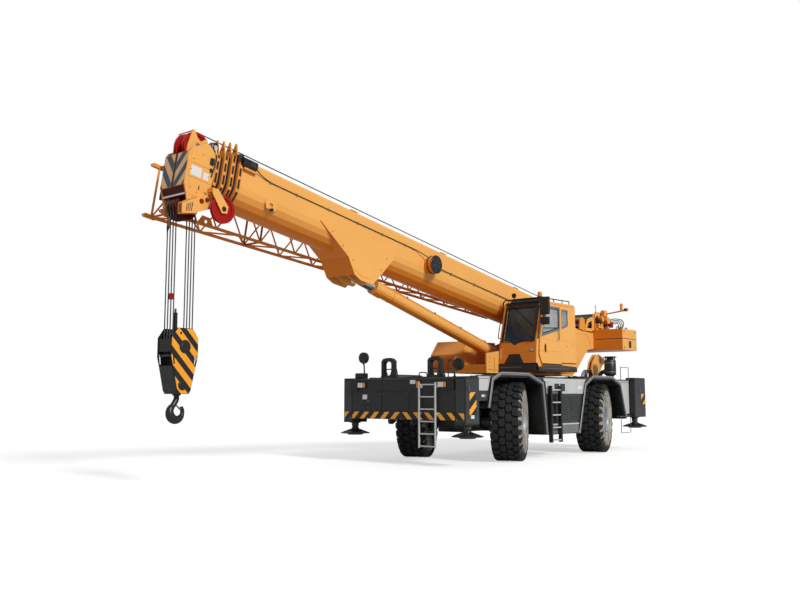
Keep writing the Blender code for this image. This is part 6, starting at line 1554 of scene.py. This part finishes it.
def side_trim(side, letter):
    """Panels, louvres, steps, fender strips and tread plate of one side of the carrier."""
    p = Piece(f"side_trim_{letter}", "carrier", "painted_silver", SLEW @ mirror(side))
    y = PANEL_FACE
    p.prism([(-0.735, 1.60), (1.245, 1.60), (1.285, 1.925), (-0.785, 1.925)], "y", (y, y + 0.006), "silver",
            0.003)
    for x0, x1 in ((0.30, 0.55), (0.60, 0.84)):
        p.box((x0, x1), (y + 0.005, y + 0.010), (1.66, 1.85), "black", 0.006)
        p.box((x0 + 0.02, x1 - 0.02), (y + 0.010, y + 0.0115), (1.68, 1.83), "tinted_glass", 0.001)
    p.box((0.93, 1.05), (y + 0.005, y + 0.009), (1.70, 1.79), "white", 0.002)
    p.box((-0.62, -0.40), (y + 0.005, y + 0.009), (1.72, 1.80), "white", 0.002)
    for x in (-0.30, 0.22, 1.12):
        p.box((x - 0.002, x + 0.002), (y + 0.0055, y + 0.0068), (1.615, 1.91), "slate", 0.0005)
    p.nuts([(x, y + 0.006, z) for x in (-0.68, -0.34, 0.18, 1.20) for z in (1.64, 1.89)], (0, 1, 0), 0.009,
           0.006)
    p.prism([(-0.795, 1.905), (1.35, 1.905), (1.39, 1.978), (-0.87, 1.978)], "y", (1.6002, 1.613), "silver",
            0.003)
    for x0, x1 in ((3.76, 4.24), (-3.52, -2.86)):
        p.box((x0, x1), (1.6002, 1.612), (1.935, 1.978), "silver", 0.003)
    if side > 0:
        p.box((0.775, 1.175), (1.6185, 1.622), (0.86, 1.56), "black", 0.001)
    # louvred doors under it
    p.prism([(-0.50, 0.845), (1.225, 0.845), (1.235, 1.585), (-0.655, 1.585)], "y", (y - 0.004, y + 0.003),
            "slate", 0.002)
    for x0, x1 in ((-0.47, 0.03), (0.08, 0.60), (0.65, 1.19)):
        p.box((x0, x1), (y + 0.003, y + 0.009), (0.875, 1.555), "slate", 0.004)
        slats = 9 if x1 < 0.61 else 0
        if slats:
            p.box((x0 + 0.05, x1 - 0.05), (y + 0.0085, y + 0.0095), (0.93, 1.51), "black", 0.0003)
        for i in range(slats):
            z = 0.96 + 0.062 * i
            p.prism([(y + 0.008, z), (y + 0.020, z - 0.006), (y + 0.020, z - 0.002), (y + 0.008, z + 0.034)],
                    "x", (x0 + 0.06, x1 - 0.06), "slate", 0.001)
        p.box((x1 - 0.045, x1 - 0.020), (y + 0.009, y + 0.016), (1.18, 1.26), "black", 0.003)
        for z in (0.95, 1.48):
            p.box((x0 - 0.012, x0 + 0.012), (y + 0.004, y + 0.015), (z - 0.03, z + 0.03), "black", 0.003)
    # step box
    p.box((-0.36, 1.22), (1.30, 1.634), (0.8402, 0.850), "tread_plate", 0.002)
    p.box((-0.345, 1.205), (1.6362, 1.643), (0.60, 0.81), "grey", 0.004)
    p.box((-0.36, 1.22), (1.6362, 1.652), (0.812, 0.848), "silver", 0.003)
    for x in (0.15, 0.66):
        p.box((x - 0.003, x + 0.003), (1.642, 1.6445), (0.61, 0.81), "black", 0.0005)
    p.nuts([(x, 1.643, 0.71) for x in (-0.28, 0.08, 0.22, 0.59, 0.73, 1.14)], (0, 1, 0), 0.010, 0.007)
    # front and rear panels behind the boxes
    p.prism([(3.865, 1.66), (4.235, 1.66), (4.235, 1.925), (3.775, 1.925)], "y", (y, y + 0.006), "silver",
            0.003)
    p.prism([(3.895, 1.44), (4.235, 1.44), (4.235, 1.645), (3.865, 1.645)], "y", (y, y + 0.005), "slate",
            0.003)
    p.box((4.02, 4.12), (y + 0.005, y + 0.009), (1.52, 1.57), "white", 0.002)
    p.nuts([(x, y + 0.006, 1.89) for x in (3.84, 4.20)], (0, 1, 0), 0.009, 0.006)
    p.prism([(-3.515, 1.03), (-3.235, 1.03), (-2.945, 1.77), (-2.875, 1.925), (-3.515, 1.925)], "y",
            (y, y + 0.006), "silver", 0.003)
    for x0, x1, z0, z1 in ((-3.46, -2.94, 2.00, 2.36), (-3.52, -2.90, 0.50, 0.96)):
        frame_y = y + 0.035
        p.tube([(x0, frame_y, z0), (x1, frame_y, z0), (x1, frame_y, z1), (x0, frame_y, z1)], 0.011, "grey",
               10, closed=True)
        for x in (x0, x1):
            z = z1 if z1 < 1 else z0
            p.rod((x, y - 0.09, z), (x, y + 0.035, z), 0.010, "grey", sides=8)
    # strips with bolts along the arches
    for arch in (FRONT_ARCH, REAR_ARCH):
        # the second, thin silver strip on the outer edge is a painted highlight
        for face, mat, low, high in ((1.6602, "grey", -0.004, 0.056), (1.6622, "silver", 0.048, 0.058)):
            inner = offset(arch, low)
            outer = offset(arch, high)
            p.prism(inner + outer[::-1], "y", (face - 0.006, face + 0.006), mat, 0.002)
        lip = offset(arch, -0.002)
        flat = offset(arch, 0.003)
        p.prism(lip + flat[::-1], "y", (1.585, 1.663), "grey", 0.0)
        corners = [Vector((along, 0, height)) for along, height in arch]
        for a, b in zip(corners, corners[1:]):
            count = max(1, int((b - a).length / 0.20))
            for i in range(count):
                spot = a.lerp(b, (i + 0.5) / count)
                way = Vector((-(b - a).z, 0, (b - a).x)).normalized() * 0.026
                p.nuts([(spot.x + way.x, 1.666, spot.z + way.z)], (0, 1, 0), 0.010, 0.008)
        wall = offset(arch, -0.030)
        inside = offset(arch, -0.036)
        p.prism(wall + inside[::-1], "y", (0.952, 1.60), "black", 0.0)
    # chequered deck
    p.box((-3.60, 4.24), (1.02, 1.585), (DECK_TOP, 1.984), "tread_plate", 0.001)
    p.prism([(4.24, 1.575), (4.24, 1.596), (-3.50, 1.596), (-3.50, 1.575)], "z", (DECK_TOP, 1.992), "grey",
            0.002)
    # marker lamp
    p.box((3.96, 4.01), (y + 0.004, y + 0.010), (1.52, 1.57), "amber", 0.002)
    p.done()


def offset(line, distance):
    """A line of (x, z) points moved sideways, out of the arch it goes over."""
    result = []
    for i, (x, z) in enumerate(line):
        ways = []
        for a, b in ((i - 1, i), (i, i + 1)):
            if a >= 0 and b < len(line):
                step = Vector((line[b][0] - line[a][0], line[b][1] - line[a][1])).normalized()
                ways.append(Vector((-step.y, step.x)))
        normal = sum(ways, Vector((0, 0))) / len(ways)
        normal /= normal.length_squared ** 0.5 * max(0.3, normal.normalized().dot(ways[0]))
        result.append((x + normal.x * distance, z + normal.y * distance))
    return result


def side_ladder():
    """Rails, brackets and toothed rungs of the ladder below the cab."""
    p = Piece("side_ladder", "carrier", "painted_charcoal", SLEW, ("ladder_left",))
    y = 1.676
    for x in (0.735, 1.215):
        p.box((x - 0.032, x + 0.032), (y - 0.018, y + 0.075), (0.395, 1.795), "black", 0.005)
        p.rod((x, 1.6065, 1.57), (x, y, 1.57), 0.012, "black", sides=10)
        p.rod((x, 1.646, 0.71), (x, y, 0.71), 0.012, "black", sides=10)
    for i in range(5):
        z = 0.45 + 0.31 * i
        p.box((0.770, 1.180), (y - 0.014, y + 0.070), (z - 0.016, z + 0.016), "silver", 0.004)
        for k in range(12):
            x = 0.775 + 0.036 * k
            p.box((x - 0.006, x + 0.006), (y - 0.010, y + 0.066), (z + 0.016, z + 0.0195), "steel", 0.0015)
    p.done()


LEG_X = {"front": (4.45, 4.98), "rear": (-4.30, -3.55)}
LEG_Z = {"front": (0.92, 1.95), "rear": (0.93, 2.06)}
JACK_X = {"front": 4.72, "rear": -3.80}
JACK_Y = 1.64


def leg_trim(end, letter):
    """Cover, marking, bolts, handle and lamp of an outrigger's leg."""
    x0, x1 = LEG_X[end]
    z0, z1 = LEG_Z[end]
    place = SLEW @ mirror(SIDE[letter])
    p = Piece(f"leg_trim_{end}_{letter}", f"beam_{end}_{letter}", "painted_charcoal", place)
    y = LEG_FACE
    p.box((x0 + 0.03, x1 - 0.02), (y, y + 0.006), (z0 + 0.03, z1 - 0.04), "slate", 0.003)
    if end == "front":
        p.box((x0 + 0.12, x0 + 0.38), (y + 0.006, y + 0.010), (1.13, 1.62), "hazard_leg", 0.002)
        p.box((x0 + 0.20, x0 + 0.33), (y + 0.006, y + 0.011), (1.05, 1.125), "white", 0.002)
    else:
        p.box((x0 + 0.05, x0 + 0.30), (y + 0.006, y + 0.010), (1.30, 1.60), "hazard_leg", 0.002)
    p.box((x0 + 0.02, x1 - 0.01), (1.512, y - 0.01), (z1 + 0.0002, z1 + 0.008), "slate", 0.003)
    p.nuts([(x, y + 0.006, z) for x in (x0 + 0.42, x1 - 0.05) for z in (z0 + 0.08, z1 - 0.09)], (0, 1, 0),
           0.012, 0.008)
    p.tube([(x0 + 0.44, y + 0.010, 1.64), (x0 + 0.44, y + 0.045, 1.65), (x0 + 0.44, y + 0.045, 1.75),
            (x0 + 0.44, y + 0.010, 1.76)], 0.009, "grey", 8)
    p.lathe([(0.100, 0.0), (0.130, 0.0), (0.130, -0.02), (0.100, -0.02)], (JACK_X[end], JACK_Y, z0), "z",
            "black", 28, closed=True)
    face, sign = (x1, 1) if end == "front" else (x0, -1)
    p.box((face + sign * 0.0005, face + sign * 0.008), (1.53, 1.75), (z0 + 0.05, z1 - 0.05), "slate", 0.003)
    if end == "front":
        p.box((face + 0.008, face + 0.012), (1.535, 1.745), (1.02, 1.17), "hazard_front", 0.001)
    else:
        p.box((face - 0.016, face - 0.008), (1.55, 1.73), (1.52, 1.60), "red_lens", 0.003)
    p.done()


def jack(end, letter):
    """A jack's rod with the dished and ribbed float."""
    name = f"jack_{end}_{letter}"
    p = Piece(f"jack_fine_{end}_{letter}", name, "steel", SLEW @ mirror(SIDE[letter]), (name,))
    x, y = JACK_X[end], JACK_Y
    p.lathe([(0.0, 1.878), (0.0845, 1.878), (0.0845, 0.82), (0.062, 0.81), (0.0, 0.81)], (x, y, 0), "z",
            "iron", 40)
    p.lathe([(0.0, 0.815), (0.060, 0.815), (0.085, 0.790), (0.095, 0.735), (0.12, 0.722), (0.325, 0.682),
             (0.345, 0.674), (0.345, 0.656), (0.325, 0.652), (0.20, 0.648), (0.17, 0.6202), (0.0, 0.6202)],
            (x, y, 0), "z", "black", 56)
    for i in range(8):
        a = 2 * math.pi * (i + 0.5) / 8
        p.prism([(0.090, 0.720), (0.30, 0.684), (0.31, 0.692), (0.092, 0.765)], "y", (-0.009, 0.009),
                "black", 0.002, extra=Matrix.Translation((x, y, 0)) @ Matrix.Rotation(a, 4, "Z"))
    p.bolt_circle((x, y, 0.783), (0, 0, 1), 0.09, 6, 0.010, 0.008)
    p.done()


def rear_trim():
    """Rear box: hazard band, lamps, grille and tow pin. Engine cover: louvres, bracket, hoses and pipes."""
    p = Piece("rear_trim", "carrier", "painted_charcoal")
    x = REAR_FACE
    p.box((x - 0.010, x), (-1.495, 1.495), (1.015, 1.175), "hazard_front", 0.002)
    p.box((x - 0.008, x), (-1.30, 1.30), (1.86, 1.935), "slate", 0.003)
    for s in (1, -1):
        p.box((x - 0.03, x), (s * 1.05, s * 1.42), (1.60, 1.74), "black", 0.008)
        for y0, mat in ((1.075, "red_lens"), (1.185, "amber"), (1.295, "clear_lens")):
            p.box((x - 0.040, x - 0.028), (s * y0, s * (y0 + 0.10)), (1.615, 1.725), mat, 0.008)
        p.box((x - 0.012, x), (s * 0.55, s * 0.95), (1.25, 1.80), "slate", 0.004)
        p.nuts([(x - 0.012, s * y0, z) for y0 in (0.59, 0.91) for z in (1.29, 1.76)], (-1, 0, 0), 0.010,
               0.008)
    p.box((x - 0.016, x), (-0.50, 0.50), (1.24, 1.80), "black", 0.006)
    for i in range(14):
        z = 1.27 + 0.037 * i
        p.prism([(x - 0.014, z), (x - 0.034, z - 0.008), (x - 0.034, z - 0.003), (x - 0.014, z + 0.018)], "y",
                (-0.46, 0.46), "slate", 0.001)
    for span in ((-0.12, -0.07), (0.07, 0.12)):
        p.prism([(x + 0.15, 1.009), (x - 0.09, 1.009), (x - 0.09, 0.94), (x + 0.15, 0.94)], "y", span,
                "black")
    p.rod((x - 0.05, -0.16, 0.975), (x - 0.05, 0.16, 0.975), 0.022, "steel", sides=16)
    top = 2.0752
    p.box((-3.58, -2.14), (-0.88, 0.88), (top, top + 0.006), "slate", 0.003)
    for s in (1, -1):
        for i in range(11):
            x0 = -3.40 + 0.105 * i
            louvre = [(x0, top + 0.004), (x0 + 0.05, top + 0.004), (x0 + 0.045, top + 0.022),
                      (x0 + 0.01, top + 0.026)]
            p.prism(louvre, "y", (s * 0.30, s * 0.78), "black", 0.002)
        p.tube([(-3.20, s * 0.12, top + 0.004), (-3.19, s * 0.12, top + 0.05), (-2.95, s * 0.12, top + 0.05),
                (-2.94, s * 0.12, top + 0.004)], 0.010, "black", 8)
    p.box((-4.24, -3.70), (-1.40, 1.40), (BOX_TOP, BOX_TOP + 0.0078), "tread_plate", 0.002)
    # pierced bracket behind the engine cover
    for y in (0.49, 0.60):
        p.prism([(-3.30, 2.082), (-3.12, 2.30), (-3.22, 2.55), (-3.46, 2.77), (-3.62, 2.785), (-4.00, 2.66),
                 (-4.02, 2.54), (-3.86, 2.46), (-3.74, 2.30), (-3.70, 2.082)], "y", (y, y + 0.03), "orange",
                holes=(circle((-3.73, 2.60), 0.08, 16),))
    p.rod((-3.42, 0.50, 2.42), (-3.42, 0.62, 2.42), 0.05, "deep_orange", sides=16)
    p.box((-3.66, -3.36), (0.46, 0.66), (2.0815, 2.14), "deep_orange", 0.008)
    for i in range(4):
        p.tube([(-3.15, 0.40 + 0.06 * i, 2.07), (-3.16, 0.42 + 0.06 * i, 2.22),
                (-3.00, 0.48 + 0.07 * i, 2.30), (-2.70, 0.55 + 0.05 * i, 2.20),
                (-2.62, 0.56 + 0.05 * i, 2.07)], 0.016, "hose", 8, steps=5)
    p.tube([(-3.20, 0.86, 2.07), (-3.20, 0.90, 2.20), (-3.25, 1.00, 2.26), (-3.29, 1.10, 2.28)], 0.06,
           "black", 16, steps=4)
    # tail pipe and its silencer beside the engine cover
    p.tube([(-2.30, -1.10, 1.99), (-2.30, -1.10, 2.35), (-2.34, -1.10, 2.46), (-2.46, -1.10, 2.52)], 0.055,
           "iron", 20, steps=4)
    p.lathe([(0.0, 2.28), (0.06, 2.28), (0.105, 2.24), (0.105, 2.05), (0.07, 2.01), (0.0, 2.01)],
            (-2.30, -1.10, 0), "z", "steel", 32)
    p.done()


def air_cleaner():
    """Canister, bands and the ring of slats under its cap."""
    p = Piece("air_cleaner_fine", "carrier", "painted_charcoal", SLEW, ("air_cleaner",))
    p.lathe([(0.0, 2.699), (0.15, 2.694), (0.19, 2.68), (0.198, 2.668), (0.193, 2.662), (0.10, 2.654),
             (0.098, 2.62), (0.105, 2.60), (0.160, 2.588), (0.169, 2.57), (0.169, 2.17), (0.16, 2.155),
             (0.11, 2.13), (0.10, 2.11), (0.10, 1.9805), (0.0, 1.9805)], (-3.30, 1.15, 0), "z", "black", 44)
    for z in (2.50, 2.24):
        p.lathe([(0.168, -0.014), (0.1715, -0.012), (0.1715, 0.012), (0.168, 0.014)], (-3.30, 1.15, z), "z",
                "steel", 44, closed=True)
    slats = 28
    for foot, tip in zip(circle((-3.30, 1.15), 0.135, slats), circle((-3.30, 1.15), 0.150, slats)):
        p.rod((*foot, 2.600), (*tip, 2.664), 0.006, "black", sides=6)
    p.done()


def running_gear():
    """Differential bolts, drain plugs, flanges and brake hoses of the two axles."""
    for end, x in AXLES.items():
        p = Piece(f"axle_trim_{end}", "carrier", "steel")
        nose = -1 if end == "front" else 1
        for s in (1, -1):
            p.bolt_circle((x, 0.241 * s, TYRE_R), (0, 1, 0), 0.135, 12, 0.010, 0.008)
        p.lathe([(0.0, 0.03), (0.05, 0.03), (0.055, 0.0), (0.0, 0.0)], (x, 0, TYRE_R - 0.285), "z", "iron",
                20)
        p.lathe([(0.03, 0.0), (0.075, 0.0), (0.075, 0.03), (0.03, 0.03)], (x + nose * 0.46, 0, TYRE_R), "x",
                "iron", 24, closed=True)
        for s in (1, -1):
            p.tube([(x - nose * 0.15, s * 0.10, TYRE_R + 0.08), (x - nose * 0.20, s * 0.30, TYRE_R + 0.20),
                    (x - nose * 0.16, s * 0.60, TYRE_R + 0.215), (x - nose * 0.13, s * 0.66, TYRE_R + 0.13)],
                   0.012, "hose", 8, steps=5)
            p.box((x - 0.05, x + 0.05), (s * 0.50, s * 0.58), (TYRE_R + 0.17, TYRE_R + 0.26), "iron", 0.01)
        p.done()


# Stage

def camera_stand():
    """The camera fitted to the photo."""
    scene = bpy.context.scene
    scene.view_settings.view_transform = "Standard"
    camera = bpy.data.objects.new("camera", bpy.data.cameras.new("camera"))
    scene.collection.objects.link(camera)
    camera.data.lens = 38.59
    camera.data.sensor_width = 36
    camera.data.sensor_fit = "HORIZONTAL"
    yaw, pitch = math.radians(219.425), math.radians(6.395)
    look = Vector((math.cos(yaw) * math.cos(pitch), math.sin(yaw) * math.cos(pitch), math.sin(pitch)))
    camera.location = SLEW @ Vector((20.136, 12.425, 1.536))
    camera.rotation_mode = "QUATERNION"
    camera.rotation_quaternion = look.to_track_quat("-Z", "Y")
    scene.camera = camera


def studio_world():
    """White for the camera and through glass, a softer grey light for everything else."""
    scene = bpy.context.scene
    world = bpy.data.worlds.new("studio")
    scene.world = world
    world.use_nodes = True
    tree = world.node_tree
    back = tree.nodes["Background"]
    back.inputs["Color"].default_value = (0.97, 0.98, 1.0, 1)
    back.inputs["Strength"].default_value = 0.40
    seen = tree.nodes.new("ShaderNodeBackground")
    seen.inputs["Color"].default_value = (1, 1, 1, 1)
    seen.inputs["Strength"].default_value = 1.0
    path = tree.nodes.new("ShaderNodeLightPath")
    either = tree.nodes.new("ShaderNodeMath")
    either.operation = "MAXIMUM"
    tree.links.new(path.outputs["Is Camera Ray"], either.inputs[0])
    tree.links.new(path.outputs["Is Transmission Ray"], either.inputs[1])
    mix = tree.nodes.new("ShaderNodeMixShader")
    tree.links.new(either.outputs[0], mix.inputs[0])
    tree.links.new(back.outputs[0], mix.inputs[1])
    tree.links.new(seen.outputs[0], mix.inputs[2])
    tree.links.new(mix.outputs[0], tree.nodes["World Output"].inputs["Surface"])


def key_light():
    """One soft sun from the cab's side."""
    sun = bpy.data.objects.new("key", bpy.data.lights.new("key", "SUN"))
    sun.data.energy = 2.55
    sun.data.angle = math.radians(14)
    sun.data.color = (1.0, 0.975, 0.94)
    sun.rotation_mode = "QUATERNION"
    sun.rotation_quaternion = SUN.to_track_quat("Z", "Y")
    bpy.context.scene.collection.objects.link(sun)


def ground():
    """A wide plain floor that looks white to the camera and still takes a shadow."""
    far = 400
    mesh = bpy.data.meshes.new("floor")
    mesh.from_pydata([(-far, -far, 0), (far, -far, 0), (far, far, 0), (-far, far, 0)], [], [(0, 1, 2, 3)])
    floor = bpy.data.objects.new("floor", mesh)
    bpy.context.scene.collection.objects.link(floor)
    floor.location.z = -0.001
    n = Nodes("floor")
    out = n.tree.nodes["Material Output"]
    n.tree.nodes.remove(n.shader)
    plain = n.new("ShaderNodeBsdfDiffuse")
    n.link(n.mix(n.noise(0.6, 3), (0.60, 0.60, 0.60), (0.63, 0.63, 0.63)), plain.inputs["Color"])
    glow = n.new("ShaderNodeEmission")
    glow.inputs["Color"].default_value = (1, 1, 1, 1)
    glow.inputs["Strength"].default_value = 0.55
    both = n.new("ShaderNodeAddShader")
    n.link(plain.outputs[0], both.inputs[0])
    n.link(glow.outputs[0], both.inputs[1])
    path = n.new("ShaderNodeLightPath")
    pick = n.new("ShaderNodeMixShader")
    n.link(path.outputs["Is Camera Ray"], pick.inputs[0])
    n.link(plain.outputs[0], pick.inputs[1])
    n.link(both.outputs[0], pick.inputs[2])
    n.link(pick.outputs[0], out.inputs["Surface"])
    mesh.materials.append(MATS["floor"])


def main():
    make_materials()
    camera_stand()
    studio_world()
    key_light()
    ground()
    paint_nodes()
    for end in AXLES:
        for letter in SIDE:
            tyre(end, letter)
            wheel(end, letter)
            leg_trim(end, letter)
            jack(end, letter)
    collars()
    hoist_rope()
    boom_fittings()
    bracket_trim()
    head_trim()
    head_sheaves()
    block_trim()
    hook()
    jib()
    luff_trim()
    cab_front_low()
    cab_front_high()
    cab_trim()
    door_trim()
    seat()
    turntable_trim()
    weight_trim()
    winch_trim()
    cabinet_trim()
    front_trim()
    front_ladder()
    for letter, side in SIDE.items():
        side_trim(side, letter)
    side_ladder()
    rear_trim()
    air_cleaner()
    running_gear()


main()
